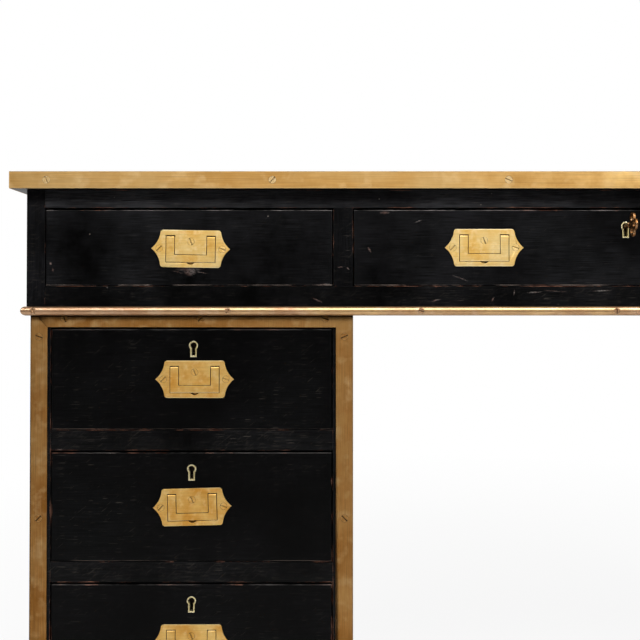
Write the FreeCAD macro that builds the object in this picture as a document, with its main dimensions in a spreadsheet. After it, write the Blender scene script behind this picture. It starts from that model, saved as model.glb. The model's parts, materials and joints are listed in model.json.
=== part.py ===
"""Campaign desk: a black lacquered, brass-bound writing desk on two pedestals of drawers.

Millimetres, +Z up, the front towards -Y. The origin is on the floor, in the middle of the
box that holds the desk and the key in its centre drawer.
"""
import FreeCAD, Part
import math
import os
import re

import Sketcher

# Driving dimensions: name, size and what it measures
SIZES = (
    ("top_width", 1372, "top, over its brass edge"),
    ("top_depth", 660, "top, front to back over its brass edge"),
    ("top_thickness", 19, "top, also the height of its brass edge"),
    ("top_overhang", 15, "top beyond the frieze, all round"),
    ("edging_thickness", 1.6, "wall of the brass angle round the top"),
    ("edging_flange", 16, "brass angle's flange on the writing side"),
    ("leather_margin", 62, "edge of the top to the leather"),
    ("leather_thickness", 1.4, "writing leather"),
    ("frieze_end_board", 20.6, "ends of the frieze"),
    ("frieze_board", 22, "partitions of the frieze"),
    ("top_rail_height", 20, "rail above the frieze drawers"),
    ("bottom_rail_height", 27, "rail below the frieze drawers"),
    ("frieze_rail_depth", 60, "both frieze rails, front to back"),
    ("frieze_back_thickness", 10, "back panel of the frieze"),
    ("dust_board_thickness", 10, "board that the frieze drawers run on"),
    ("kicker_width", 20, "strips above the frieze drawers' sides"),
    ("bead_height", 10.6, "half-round brass bead at the waist"),
    ("bead_lip", 6, "bead below the frieze, round the pedestals' tops"),
    ("pedestal_width", 362, "pedestal over its brass corners"),
    ("pedestal_inset", 3.5, "pedestal inside the frieze, front, back and end"),
    ("side_reveal", 3.6, "side panels of the pedestals beside the brass strips"),
    ("pedestal_rail_height", 23, "rails between the pedestal drawers"),
    ("pedestal_rail_depth", 60, "the same rails, front to back"),
    ("pedestal_back_thickness", 10, "back panels of the pedestals"),
    ("runner_width", 20, "runners under the pedestal drawers' sides"),
    ("strip_width", 19, "brass strips on the pedestals, and the boards above and below their drawers"),
    ("strip_thickness", 1.6, "the same strips"),
    ("foot_height", 140, "floor to the underside of a pedestal"),
    ("foot_radius", 34, "collar of a turned foot"),
    ("foot_inset", 44, "foot's axis from the pedestal's corner faces"),
    ("dowel_radius", 11, "peg that holds a foot in its pedestal"),
    ("dowel_share", 0.84, "the same peg's length, of the board that it stands in"),
    ("frieze_drawer_height", 84.4, "fronts of the three frieze drawers"),
    ("upper_drawer_height", 112, "fronts of the upper pedestal drawers"),
    ("middle_drawer_height", 121, "fronts of the middle pedestal drawers"),
    ("lower_drawer_height", 130, "fronts of the lower pedestal drawers"),
    ("drawer_top_gap", 2.6, "front to the rail above it"),
    ("drawer_bottom_gap", 0.8, "front to the rail below it"),
    ("drawer_side_gap", 1.2, "front to the case beside it"),
    ("running_gap", 0.3, "drawer sides above what they run on"),
    ("front_thickness", 20, "drawer fronts"),
    ("front_edge_radius", 0.8, "eased edge round a drawer front"),
    ("drawer_side", 10, "drawer sides"),
    ("drawer_back", 9, "drawer backs"),
    ("drawer_bottom", 6, "drawer bottoms"),
    ("bottom_rise", 7, "drawer bottom above the front's lower edge"),
    ("groove_depth", 4, "grooves that hold the drawer bottom"),
    ("front_lap", 5, "front left standing before the dovetails"),
    ("side_drop", 6, "drawer side below the top of its front"),
    ("back_drop", 8, "drawer back below the drawer sides"),
    ("back_room", 14, "drawer to the back panel behind it"),
    ("tail_wide_share", 0.74, "dovetail's wide end, of its pitch"),
    ("tail_narrow_share", 0.52, "dovetail's narrow end, of its pitch"),
    ("plate_width", 88.5, "handle plate, point to point"),
    ("plate_height", 41.8, "handle plate"),
    ("plate_flat_share", 0.764, "straight top and bottom edge, of the plate's width"),
    ("plate_curve", 27, "radius of the hollow curves to the points"),
    ("plate_corner", 3.4, "rounded corners of the plate"),
    ("plate_sheet", 2.6, "plate's own thickness"),
    ("plate_proud", 1.0, "plate's face before the drawer front"),
    ("let_in_gap", 0.15, "round what is let into the wood"),
    ("channel_width_share", 0.631, "sunk channel that the bail lies in, of the plate's width"),
    ("channel_top_share", 0.355, "channel above the plate's middle, of the plate's height"),
    ("channel_foot_share", 0.372, "channel below the plate's middle, of the plate's height"),
    ("tongue_width_share", 0.4, "tongue of the plate inside the bail, of the plate's width"),
    ("tongue_foot_share", 0.156, "tongue below the plate's middle, of the plate's height"),
    ("notch_width", 8.5, "thumbnail notch under the bail"),
    ("notch_radius_share", 0.612, "radius of the same notch, of its width"),
    ("pan_wall", 2.6, "wall of the sunk pan round the channel"),
    ("pan_floor", 1.2, "floor of the sunk pan"),
    ("bail_thickness", 4, "bail, front to back"),
    ("bail_gap", 0.5, "bail to the channel, all round"),
    ("pin_radius", 1.1, "pivot pins of the bail"),
    ("pin_length", 1.8, "pivot pins beyond the bail"),
    ("pin_clearance", 0.05, "pivot pin to its hole"),
    ("centre_handle_share", 0.519, "centre drawer's handles from its middle, of half its opening"),
    ("plate_below_keyhole", 3, "least room between an escutcheon and the plate below it"),
    ("handle_screw_radius", 3.9, "heads of the handle screws"),
    ("handle_screw_rise_share", 0.19, "upper handle screw above the middle, of the plate's height"),
    ("handle_screw_reach_share", 0.398, "outer handle screws from the middle, of the plate's width"),
    ("trim_screw_radius", 4.1, "heads of the screws in the brass strips"),
    ("bead_screw_radius", 3.2, "heads of the screws in the bead"),
    ("bead_screw_sink", 0.7, "those heads below the bead's crest"),
    ("screw_head", 1.6, "thickness of the screw heads in the bead and the handles"),
    ("slot_width", 1.1, "screwdriver slot"),
    ("slot_depth", 0.7, "screwdriver slot"),
    ("key_drop", 18.2, "keyhole's axis below the drawer front's top"),
    ("escutcheon_head", 5.2, "outer radius of the escutcheon's head"),
    ("escutcheon_skirt", 7.4, "width of the escutcheon below its head"),
    ("escutcheon_height", 18.2, "escutcheon, over all"),
    ("escutcheon_wall", 1.7, "wall of the escutcheon"),
    ("escutcheon_depth", 5, "escutcheon let into the front"),
    ("escutcheon_proud", 0.4, "escutcheon before the front"),
    ("lock_width", 52, "lock plate and selvage"),
    ("lock_foot", 7, "lock plate below the key bit's reach"),
    ("lock_backing", 2, "wood between the escutcheon and the lock"),
    ("lock_plate", 2, "lock plate and selvage, thickness"),
    ("lock_case_width", 40, "case of the lock"),
    ("lock_wall", 1.2, "front wall of the case and its partition"),
    ("lock_gap", 0.3, "round the moving pieces of the lock"),
    ("bolt_width", 14, "lock bolt"),
    ("bolt_depth_share", 0.24, "lock bolt, front to back, of the lock's case"),
    ("bolt_length", 24, "lock bolt, drawn, below the front's top"),
    ("bolt_throw", 6, "how far the bolt rises"),
    ("key_reach", 36, "key's bow before the drawer front"),
    ("key_stem", 2.3, "radius of the key's stem"),
    ("key_collar", 3.8, "radius of the collar on the stem"),
    ("key_collar_length", 3, "the same collar"),
    ("key_lobe", 6.3, "outer radius of each ring of the bow"),
    ("key_lobe_hole", 3.1, "inner radius of each ring of the bow"),
    ("key_lobe_offset", 7.0, "rings of the bow from the bow's middle"),
    ("key_bow_thickness", 3.2, "bow of the key"),
    ("bit_reach", 8, "key bit from the stem's axis"),
    ("bit_thickness", 2.4, "key bit, across"),
    ("bit_width_share", 0.27, "key bit, along the stem, of the lock's case"),
    ("left_frieze_handle_drop", 1.3, "that handle below the middle of its drawer"),
    ("left_frieze_handle_shift", 1.7, "that handle to the right of its drawer's middle"),
    ("left_upper_handle_shift", 3.2, "that handle to the right of its drawer's middle"),
    ("left_middle_handle_shift", 0.8, "that handle to the right of its drawer's middle"),
    ("left_upper_lock_shift", 1.8, "that lock to the right of its drawer's middle"),
    ("left_frieze_handle_tilt", 0.9, "degrees, clockwise from the front"),
    ("left_middle_handle_tilt", -1.4, "degrees, clockwise from the front"),
    ("overrun", 3, "how far every cutting shape passes its cut"),
)

# Handles that were let in a little off their places
HANDLE_SHIFTS = {"left_frieze": "left_frieze_handle_shift", "left_upper": "left_upper_handle_shift",
                 "left_middle": "left_middle_handle_shift"}
HANDLE_TILTS = {"left_frieze": "left_frieze_handle_tilt", "left_middle": "left_middle_handle_tilt"}
LOCK_SHIFTS = {"left_upper": "left_upper_lock_shift"}

# Places along a half length, as shares of it
EDGE_SCREW_SHARES = (-0.94, -0.576, -0.195, 0.195, 0.576, 0.94)
EDGE_END_SCREW_SHARES = (-0.82, 0, 0.82)
BEAD_SCREW_SHARES = (-0.98, -0.659, -0.34, -0.017, 0.304, 0.625, 0.946)
BEAD_BACK_SCREW_SHARES = (-0.9, -0.3, 0.3, 0.9)
BEAD_END_SCREW_SHARES = (-0.85, 0, 0.85)
STRIP_TOP_SCREW_SHARES = (-0.79, 0.055, 0.83)
STRIP_FOOT_SCREW_SHARES = (-0.8, 0, 0.8)
STRIP_SIDE_SCREW_SHARES = (-0.87, -0.02, 0.87)

# Half section of a foot: radius as a share of foot_radius, height as a share of foot_height,
# and the radius of the arc to the next point, as a share of foot_height, with its side
FOOT_SHARES = (
    (0.0, 0.0, None),
    (0.5, 0.0, None),
    (0.62, 0.14, (0.032, -1)),
    (0.62, 0.2, (0.545, -1)),
    (0.6, 0.8, (0.032, -1)),
    (0.6, 0.86, (0.075, 1)),
    (0.92, 0.93, None),
    (1.0, 0.95, None),
    (1.0, 1.0, None),
)

TAIL_COUNT = 3
SLOT_TURN = 67
HALF_TURN, WHOLE_TURN = 180, 360
FRONT_FACING, RIGHT_FACING, BACK_FACING, LEFT_FACING = 0, 90, 180, 270
ORIGIN = FreeCAD.Vector()
X_AXIS, Y_AXIS, Z_AXIS = (FreeCAD.Vector(*axis) for axis in ((1, 0, 0), (0, 1, 0), (0, 0, 1)))
ALONG_X = FreeCAD.Rotation(Y_AXIS, 90)
ALONG_Y = FreeCAD.Rotation(X_AXIS, -90)
LYING_BACK = FreeCAD.Rotation(X_AXIS, 90)
UPRIGHT = FreeCAD.Rotation(FreeCAD.Vector(1, 1, 1), 240)

doc = FreeCAD.newDocument("CampaignDesk")
sheet = doc.addObject("Spreadsheet::Sheet", "Sizes")
sub_parts = []

# Planes of the desk, written in the driving dimensions
KEY_PROUD = "(key_reach - top_overhang)"
TOP_HALF = "(top_width / 2)"
TOP_FRONT = f"(({KEY_PROUD} - top_depth) / 2)"
TOP_BACK = f"({TOP_FRONT} + top_depth)"
CASE_HALF = f"({TOP_HALF} - top_overhang)"
CASE_FRONT = f"({TOP_FRONT} + top_overhang)"
CASE_BACK = f"({TOP_BACK} - top_overhang)"
CASE_INSIDE = f"({CASE_HALF} - frieze_end_board)"
PEDESTAL_OUTER = f"({CASE_HALF} - pedestal_inset)"
PEDESTAL_INNER = f"({PEDESTAL_OUTER} - pedestal_width)"
PEDESTAL_MIDDLE = f"(({PEDESTAL_OUTER} + {PEDESTAL_INNER}) / 2)"
PEDESTAL_FRONT = f"({CASE_FRONT} + pedestal_inset)"
PEDESTAL_BACK = f"({CASE_BACK} - pedestal_inset)"
PEDESTAL_FACE = f"({PEDESTAL_FRONT} + strip_thickness)"
PEDESTAL_REAR = f"({PEDESTAL_BACK} - strip_thickness)"
PARTITION_OUTER = f"({PEDESTAL_INNER} + frieze_board)"
PANEL_OUTER = f"({PEDESTAL_OUTER} - strip_thickness)"
PANEL_INNER = f"({PEDESTAL_INNER} + strip_thickness)"
OPENING_OUTER = f"({PEDESTAL_OUTER} - strip_width - side_reveal)"
OPENING_INNER = f"({PEDESTAL_INNER} + strip_width + side_reveal)"

# Floor and ceiling of each drawer opening, from the lowest up
FLOOR, CEILING = {}, {}
level = "(foot_height + strip_width)"
for row in ("lower", "middle", "upper"):
    FLOOR[row] = level
    CEILING[row] = f"({level} + drawer_bottom_gap + {row}_drawer_height + drawer_top_gap)"
    level = f"({CEILING[row]} + pedestal_rail_height)"
PEDESTAL_TOP = f"({CEILING['upper']} + strip_width)"
FLOOR["frieze"] = f"({PEDESTAL_TOP} + bottom_rail_height)"
CEILING["frieze"] = f"({FLOOR['frieze']} + drawer_bottom_gap + frieze_drawer_height + drawer_top_gap)"
FRIEZE_TOP = f"({CEILING['frieze']} + top_rail_height)"
DESK_TOP = f"({FRIEZE_TOP} + top_thickness)"

# Planes of a handle, a lock and a drawer, each in its own frame with y = 0 on the drawer front
CHANNEL_HALF = "(plate_width * channel_width_share / 2)"
CHANNEL_TOP = "(plate_height * channel_top_share)"
CHANNEL_FOOT = "(-plate_height * channel_foot_share)"
TONGUE_HALF = "(plate_width * tongue_width_share / 2)"
TONGUE_FOOT = "(-plate_height * tongue_foot_share)"
BAIL_FACE = "(-plate_proud)"
BAIL_BACK = "(bail_thickness - plate_proud)"
PAN_BACK = f"({BAIL_BACK} + bail_gap + pan_floor)"
BAIL_HALF = f"({CHANNEL_HALF} - bail_gap)"
BAIL_INSIDE = f"({TONGUE_HALF} + bail_gap)"
BAIL_FOOT = f"({CHANNEL_FOOT} + bail_gap)"
BAIL_BAR_TOP = f"({TONGUE_FOOT} - bail_gap)"
PIVOT_HEIGHT = f"({CHANNEL_TOP} - bail_gap - bail_thickness / 2)"
PIVOT_DEPTH = "(bail_thickness / 2 - plate_proud)"
KEYHOLE_FOOT = "(key_drop + escutcheon_height - escutcheon_head)"
LOCK_FRONT = "(escutcheon_depth + lock_backing)"
LOCK_FOOT = "(-key_drop - bit_reach - lock_foot)"
CASE_DEPTH = f"(front_thickness - lock_plate - {LOCK_FRONT})"
CHAMBER_FRONT = f"({LOCK_FRONT} + lock_wall)"
BIT_FRONT = f"({CHAMBER_FRONT} + lock_gap)"
BIT_BACK = f"({BIT_FRONT} + {CASE_DEPTH} * bit_width_share)"
CHAMBER_BACK = f"({BIT_BACK} + lock_gap)"
BOLT_FRONT = f"({CHAMBER_BACK} + lock_wall + lock_gap)"
BOLT_BACK = f"({BOLT_FRONT} + {CASE_DEPTH} * bolt_depth_share)"
SIDE_FOOT = "(running_gap - drawer_bottom_gap)"


def fill_sheet():
    """Write the driving dimensions, each with its alias and its note."""
    for line, (alias, size, note) in enumerate(SIZES, start=1):
        sheet.set(f"A{line}", alias)
        sheet.set(f"B{line}", str(size))
        sheet.set(f"C{line}", note)
        sheet.setAlias(f"B{line}", alias)
    doc.recompute()


def formula(text):
    """Turn a sum of size names into an expression on the sheet."""
    return re.sub(r"\b(?!max\b)[a-z]\w+\b", lambda name: f"Sizes.{name.group()}", text)


def number(text):
    return float(sheet.evalExpression(formula(text)))


def same(one, other):
    return math.isclose(one, other, abs_tol=Part.Precision.confusion())


def place(thing, at, turn=None):
    """Bind a thing's position to three sums of sizes, after turning it."""
    if turn is not None:
        thing.Placement = FreeCAD.Placement(ORIGIN, turn)
    for axis, text in zip("xyz", at):
        thing.setExpression(f"Placement.Base.{axis}", formula(text))
    return thing


def bind(thing, **sums):
    for name, text in sums.items():
        thing.setExpression(name, formula(text))
    return thing


def block(name, x, y, z):
    """A board between two planes along each axis."""
    solid = doc.addObject("Part::Box", name)
    length, width, height = (f"({high}) - ({low})" for low, high in (x, y, z))
    bind(solid, Length=length, Width=width, Height=height)
    return place(solid, (x[0], y[0], z[0]))


def rod(name, radius, length, at, turn):
    solid = bind(doc.addObject("Part::Cylinder", name), Radius=radius, Height=length)
    return place(solid, at, turn)


def mitred_bar(name, length, width, height, at, turn, rise="0"):
    """A bar along its own X whose ends are mitred at 45 degrees across its own Y."""
    bar = doc.addObject("Part::Wedge", name)
    bind(bar, Xmin="0", Xmax=length, X2min=width, X2max=f"{length} - {width}")
    bind(bar, Ymin="0", Ymax=width, Zmin=rise, Zmax=height, Z2min=rise, Z2max=height)
    return place(bar, at, turn)


def cut(name, base, *tools):
    """Cut one tool after another out of a base."""
    for step, tool in enumerate(tools, start=1):
        last = name if step == len(tools) else f"{name}_cut_{step}"
        result = doc.addObject("Part::Cut", last)
        result.Base, result.Tool = base, tool
        base = result
    return base


def fuse(name, *solids):
    result = doc.addObject("Part::MultiFuse", name)
    result.Shapes = list(solids)
    result.Refine = True
    return result


def common(name, base, tool):
    result = doc.addObject("Part::Common", name)
    result.Base, result.Tool = base, tool
    return result


def group(name, solids):
    result = doc.addObject("Part::Compound", name)
    result.Links = list(solids)
    return result


def copy(name, source, at, turn=None):
    """A second one of a solid, at a place of its own."""
    return place(group(name, [source]), at, turn)


def mirrored(name, source, plane="0"):
    """A solid's mirror image across a plane of constant x."""
    image = doc.addObject("Part::Mirroring", name)
    image.Source = source
    image.Normal = X_AXIS
    image.setExpression("Base.x", formula(plane))
    return image


def sub_part(label, solids):
    """Name what one file holds."""
    node = group(f"node_{label}", solids)
    node.Label = label
    sub_parts.append(node)
    return node


def body_sketch(body, name, role, lift="0"):
    """A sketch on one of a body's own planes, lifted along the plane's normal."""
    sketch = body.newObject("Sketcher::SketchObject", name)
    plane = next(item for item in body.Origin.OriginFeatures if item.Role == role)
    sketch.AttachmentSupport = [(plane, "")]
    sketch.MapMode = "FlatFace"
    sketch.setExpression("AttachmentOffset.Base.z", formula(lift))
    return sketch


def arc_middle(start, end, radius, side):
    """The middle of the shorter arc from start to end, on its left where side is 1."""
    chord = end - start
    half = chord.Length / 2
    sagitta = radius - math.sqrt(radius ** 2 - half ** 2)
    left = FreeCAD.Vector(-chord.y, chord.x, 0).normalize()
    return (start + end) / 2 + left * (sagitta * side)


def outline(sketch, corners, arcs=None):
    """Draw a closed outline whose corners, and the radii of its arcs, are sums of sizes."""
    arcs = arcs or {}
    points = [FreeCAD.Vector(number(x), number(y), 0) for x, y in corners]
    ends = []
    for place_in_row, start in enumerate(points):
        end = points[(place_in_row + 1) % len(points)]
        if place_in_row in arcs:
            radius, side = arcs[place_in_row]
            middle = arc_middle(start, end, number(radius), side)
            edge = sketch.addGeometry(Part.Arc(start, middle, end), False)
            from_start = [sketch.getPoint(edge, end_mark).distanceToPoint(start) for end_mark in (1, 2)]
            ends.append((edge, 1, 2) if from_start[0] < from_start[1] else (edge, 2, 1))
            mark = sketch.addConstraint(Sketcher.Constraint("Radius", edge, number(radius)))
            sketch.setExpression(f"Constraints[{mark}]", formula(radius))
        else:
            ends.append((sketch.addGeometry(Part.LineSegment(start, end), False), 1, 2))
    for place_in_row, (edge, first, last) in enumerate(ends):
        follower, joint, _ = ends[(place_in_row + 1) % len(ends)]
        sketch.addConstraint(Sketcher.Constraint("Coincident", edge, last, follower, joint))
        for kind, text in zip(("DistanceX", "DistanceY"), corners[place_in_row]):
            mark = sketch.addConstraint(Sketcher.Constraint(kind, -1, 1, edge, first, number(text)))
            sketch.setExpression(f"Constraints[{mark}]", formula(text))


def pad(body, sketch, length, backwards=False):
    feature = bind(body.newObject("PartDesign::Pad", f"{sketch.Name}_pad"), Length=length)
    feature.Profile = sketch
    feature.Reversed = backwards
    return feature


def edges_where(shape, test):
    """Numbers of the edges that pass a test of their two ends."""
    numbered = enumerate(shape.Edges, start=1)
    return [line for line, edge in numbered if test(*(vertex.Point for vertex in edge.Vertexes))]


def make_top():
    """The top board with its brass angle round it and the leather let into it."""
    low_shelf = f"({DESK_TOP} - edging_thickness)"
    board_x = f"({TOP_HALF} - edging_thickness)"
    inner_x = f"({TOP_HALF} - edging_flange)"
    leather_x = f"({TOP_HALF} - leather_margin)"
    under = block("top_under_flange", (f"-{board_x}", board_x),
                  (f"{TOP_FRONT} + edging_thickness", f"{TOP_BACK} - edging_thickness"),
                  (FRIEZE_TOP, low_shelf))
    upper = block("top_inside_flange", (f"-{inner_x}", inner_x),
                  (f"{TOP_FRONT} + edging_flange", f"{TOP_BACK} - edging_flange"), (low_shelf, DESK_TOP))
    recess = block("leather_recess", (f"-{leather_x}", leather_x),
                   (f"{TOP_FRONT} + leather_margin", f"{TOP_BACK} - leather_margin"),
                   (f"{DESK_TOP} - leather_thickness", f"{DESK_TOP} + overrun"))
    sub_part("top_board", [cut("top_recessed", fuse("top_stepped", under, upper), recess)])
    skin_x = f"({leather_x} - let_in_gap)"
    skin_front = f"({TOP_FRONT} + leather_margin + let_in_gap)"
    skin_back = f"({TOP_BACK} - leather_margin - let_in_gap)"
    sub_part("writing_leather", [block("leather_skin", (f"-{skin_x}", skin_x), (skin_front, skin_back),
                                       (f"{DESK_TOP} - leather_thickness", DESK_TOP))])
    middle_height = f"({FRIEZE_TOP} + top_thickness / 2)"
    strips, screws = [], []
    for side, facing, corner, length, shares in (
            ("front", FRONT_FACING, (f"-{TOP_HALF}", TOP_FRONT), "top_width", EDGE_SCREW_SHARES),
            ("right", RIGHT_FACING, (TOP_HALF, TOP_FRONT), "top_depth", EDGE_END_SCREW_SHARES),
            ("back", BACK_FACING, (TOP_HALF, TOP_BACK), "top_width", EDGE_SCREW_SHARES),
            ("left", LEFT_FACING, (f"-{TOP_HALF}", TOP_BACK), "top_depth", EDGE_END_SCREW_SHARES)):
        turn = FreeCAD.Rotation(Z_AXIS, facing)
        at = (*corner, FRIEZE_TOP)
        band = mitred_bar(f"top_{side}_band", length, "edging_thickness", "top_thickness", at, turn)
        flange = mitred_bar(f"top_{side}_flange", length, "edging_flange", "top_thickness", at, turn,
                            rise="top_thickness - edging_thickness")
        angle = fuse(f"top_{side}_angle", band, flange)
        places = side_places(facing, shares, TOP_HALF, TOP_FRONT, TOP_BACK)
        heads, holes = screw_row(f"top_{side}", facing, places, middle_height, "edging")
        strips.append(cut(f"top_{side}_drilled", angle, holes))
        screws += heads
    sub_part("top_edge_strips", strips)
    return screws


def side_places(facing, shares, half, front, back):
    """Plan positions on one of the four sides of a rectangle, at shares of its half length."""
    across = f"(({back} - {front}) / 2)"
    middle = f"(({back} + {front}) / 2)"
    if facing == FRONT_FACING:
        return [(f"{half} * {share}", front) for share in shares]
    if facing == BACK_FACING:
        return [(f"{half} * {share}", back) for share in shares]
    end = half if facing == RIGHT_FACING else f"(-{half})"
    return [(end, f"{middle} + {across} * {share}") for share in shares]


def make_screw_heads():
    """A slotted head and its plain countersink for each size of screw, facing -Y from y = 0."""
    masters = {}
    for kind, radius, depth in (("edging", "trim_screw_radius", "edging_thickness"),
                                ("strip", "trim_screw_radius", "strip_thickness"),
                                ("bead", "bead_screw_radius", "screw_head"),
                                ("handle", "handle_screw_radius", "screw_head")):
        disc = rod(f"{kind}_screw_disc", radius, depth, ("0", "0", "0"), ALONG_Y)
        slot = block(f"{kind}_screw_slot", (f"-{radius} - overrun", f"{radius} + overrun"),
                     ("-overrun", "slot_depth"), ("-slot_width / 2", "slot_width / 2"))
        hole = rod(f"{kind}_screw_hole", radius, f"{depth} + overrun", ("0", "-overrun", "0"), ALONG_Y)
        masters[kind] = cut(f"{kind}_screw_head", disc, slot), hole
    return masters


def screw_row(name, facing, places, height, kind):
    """Screw heads along one side, each slot at an angle of its own, and their holes as one group."""
    head, hole = SCREWS[kind]
    heads, holes = [], []
    for count, (x, y) in enumerate(places):
        face = FreeCAD.Rotation(Z_AXIS, facing)
        spun = face.multiply(FreeCAD.Rotation(Y_AXIS, SLOT_TURN * (count + 1)))
        z = height[count] if isinstance(height, list) else height
        heads.append(copy(f"{name}_screw_{count}", head, (x, y, z), spun))
        holes.append(copy(f"{name}_hole_{count}", hole, (x, y, z), face))
    return heads, group(f"{name}_holes", holes)


def make_frieze():
    """The case below the top: ends, partitions, rails, back, drawer board and kickers."""
    inside = (f"-{CASE_INSIDE}", CASE_INSIDE)
    rail_back = f"({CASE_FRONT} + frieze_rail_depth)"
    panel_front = f"({CASE_BACK} - frieze_back_thickness)"
    end = block("frieze_left_end", (f"-{CASE_HALF}", f"-{CASE_INSIDE}"), (CASE_FRONT, CASE_BACK),
                (PEDESTAL_TOP, FRIEZE_TOP))
    sub_part("frieze_ends", [end, mirrored("frieze_right_end", end)])
    strike = strike_mortise("centre", "0", CASE_FRONT, CEILING["frieze"])
    rail = block("frieze_rail_blank", inside, (CASE_FRONT, rail_back), (CEILING["frieze"], FRIEZE_TOP))
    sub_part("frieze_top_rail", [cut("frieze_rail_struck", rail, strike)])
    sub_part("frieze_bottom_rail", [block("frieze_lower_rail", inside, (CASE_FRONT, rail_back),
                                          (PEDESTAL_TOP, FLOOR["frieze"]))])
    sub_part("frieze_back", [block("frieze_back_panel", inside, (panel_front, CASE_BACK),
                                   (PEDESTAL_TOP, FRIEZE_TOP))])
    sub_part("frieze_dust_board", [block("frieze_drawer_board", inside, (rail_back, panel_front),
                                         (f"{FLOOR['frieze']} - dust_board_thickness", FLOOR["frieze"]))])
    partition = cut("frieze_left_partition",
                    block("frieze_partition_blank", (f"-{PARTITION_OUTER}", f"-{PEDESTAL_INNER}"),
                          (CASE_FRONT, panel_front), (FLOOR["frieze"], FRIEZE_TOP)), rail)
    sub_part("frieze_partitions", [partition, mirrored("frieze_right_partition", partition)])
    kickers = []
    for name, low in (("end", f"-{CASE_INSIDE}"), ("outer", f"-{PARTITION_OUTER} - kicker_width"),
                      ("inner", f"-{PEDESTAL_INNER}")):
        kicker = block(f"{name}_kicker", (f"({low})", f"({low}) + kicker_width"), (rail_back, panel_front),
                       (CEILING["frieze"], FRIEZE_TOP))
        kickers += [kicker, mirrored(f"{name}_kicker_right", kicker)]
    return kickers


def strike_mortise(name, x, face, ceiling):
    """The pocket in a rail that a lock bolt rises into."""
    reach = "(bolt_width / 2 + lock_gap)"
    return block(f"{name}_strike", (f"{x} - {reach}", f"{x} + {reach}"),
                 (f"{face} + {BOLT_FRONT} - lock_gap", f"{face} + {BOLT_BACK} + lock_gap"),
                 (f"{ceiling} - overrun", f"{ceiling} + bolt_throw + lock_gap"))


def make_bead():
    """The half-round brass bead round the waist, mitred at the corners, and its screws."""
    radius = "(bead_height / 2)"
    half = f"({CASE_HALF} + {radius})"
    front = f"({CASE_FRONT} - {radius})"
    back = f"({CASE_BACK} + {radius})"
    foot = f"({PEDESTAL_TOP} - bead_lip)"
    crest = f"({foot} + {radius})"
    sunk = (f"({half} - bead_screw_sink)", f"({front} + bead_screw_sink)", f"({back} - bead_screw_sink)")
    outward = FreeCAD.Rotation(X_AXIS, HALF_TURN).multiply(ALONG_X)
    beads, screws = [], []
    for side, facing, corner, length, shares in (
            ("front", FRONT_FACING, (f"-{half}", front), f"(2 * {half})", BEAD_SCREW_SHARES),
            ("right", RIGHT_FACING, (half, front), f"({back} - {front})", BEAD_END_SCREW_SHARES),
            ("back", BACK_FACING, (half, back), f"(2 * {half})", BEAD_BACK_SCREW_SHARES),
            ("left", LEFT_FACING, (f"-{half}", back), f"({back} - {front})", BEAD_END_SCREW_SHARES)):
        round_bar = rod(f"bead_{side}_round", radius, length, ("0", radius, radius), outward)
        round_bar.Angle = HALF_TURN
        mitre = mitred_bar(f"bead_{side}_mitre", length, radius, "bead_height", ("0", "0", "0"), None)
        bead = copy(f"bead_{side}_strip", common(f"bead_{side}_bar", round_bar, mitre), (*corner, foot),
                    FreeCAD.Rotation(Z_AXIS, facing))
        heads, holes = screw_row(f"bead_{side}", facing, side_places(facing, shares, *sunk), crest, "bead")
        beads.append(cut(f"bead_{side}_drilled", bead, holes))
        screws += heads
    sub_part("waist_beading", beads)
    return screws


def make_pedestals():
    """Both pedestal cases without their drawers, the right one as the left one's mirror image."""
    tall = ("foot_height", PEDESTAL_TOP)
    between = (f"-{OPENING_OUTER}", f"-{OPENING_INNER}")
    panel_front = f"({PEDESTAL_REAR} - pedestal_back_thickness)"
    rail_back = f"({PEDESTAL_FACE} + pedestal_rail_depth)"
    depth = (PEDESTAL_FACE, PEDESTAL_REAR)
    outer = block("outer_side", (f"-{PANEL_OUTER}", f"-{OPENING_OUTER}"), depth, tall)
    inner = block("inner_side", (f"-{OPENING_INNER}", f"-{PANEL_INNER}"), depth, tall)
    back = block("pedestal_back", between, (panel_front, PEDESTAL_REAR), tall)
    lid = cut("pedestal_lid", block("pedestal_lid_blank", between, (PEDESTAL_FACE, panel_front),
                                    (CEILING["upper"], PEDESTAL_TOP)),
              strike_mortise("upper", f"-{PEDESTAL_MIDDLE}", PEDESTAL_FACE, CEILING["upper"]))
    floor_board = block("pedestal_floor_blank", between, (PEDESTAL_FACE, panel_front),
                        ("foot_height", FLOOR["lower"]))
    feet, pegs = make_feet()
    floor_board = cut("pedestal_floor", floor_board, group("peg_holes", pegs))
    rails, runners = [], []
    for below, above in (("lower", "middle"), ("middle", "upper")):
        level = (CEILING[below], FLOOR[above])
        rail = block(f"{below}_rail_blank", between, (PEDESTAL_FACE, rail_back), level)
        strike = strike_mortise(below, f"-{PEDESTAL_MIDDLE}", PEDESTAL_FACE, CEILING[below])
        rails.append(cut(f"{below}_rail", rail, strike))
        for name, x in (("outer", (f"-{OPENING_OUTER}", f"-{OPENING_OUTER} + runner_width")),
                        ("inner", (f"-{OPENING_INNER} - runner_width", f"-{OPENING_INNER}"))):
            runners.append(block(f"{below}_{name}_runner", x, (rail_back, panel_front), level))
    strips, screws = make_pedestal_strips()
    for label, solids in (("pedestal_sides", [outer, inner]), ("pedestal_backs", [back]),
                          ("pedestal_top_boards", [lid]), ("pedestal_bottom_boards", [floor_board]),
                          ("pedestal_rails", rails), ("pedestal_brass_strips", strips),
                          ("turned_feet", feet)):
        sub_part(label, with_mirror_images(solids))
    return with_mirror_images(runners), with_mirror_images(screws)


def with_mirror_images(solids):
    return solids + [mirrored(f"{solid.Name}_right", solid) for solid in solids]


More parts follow.
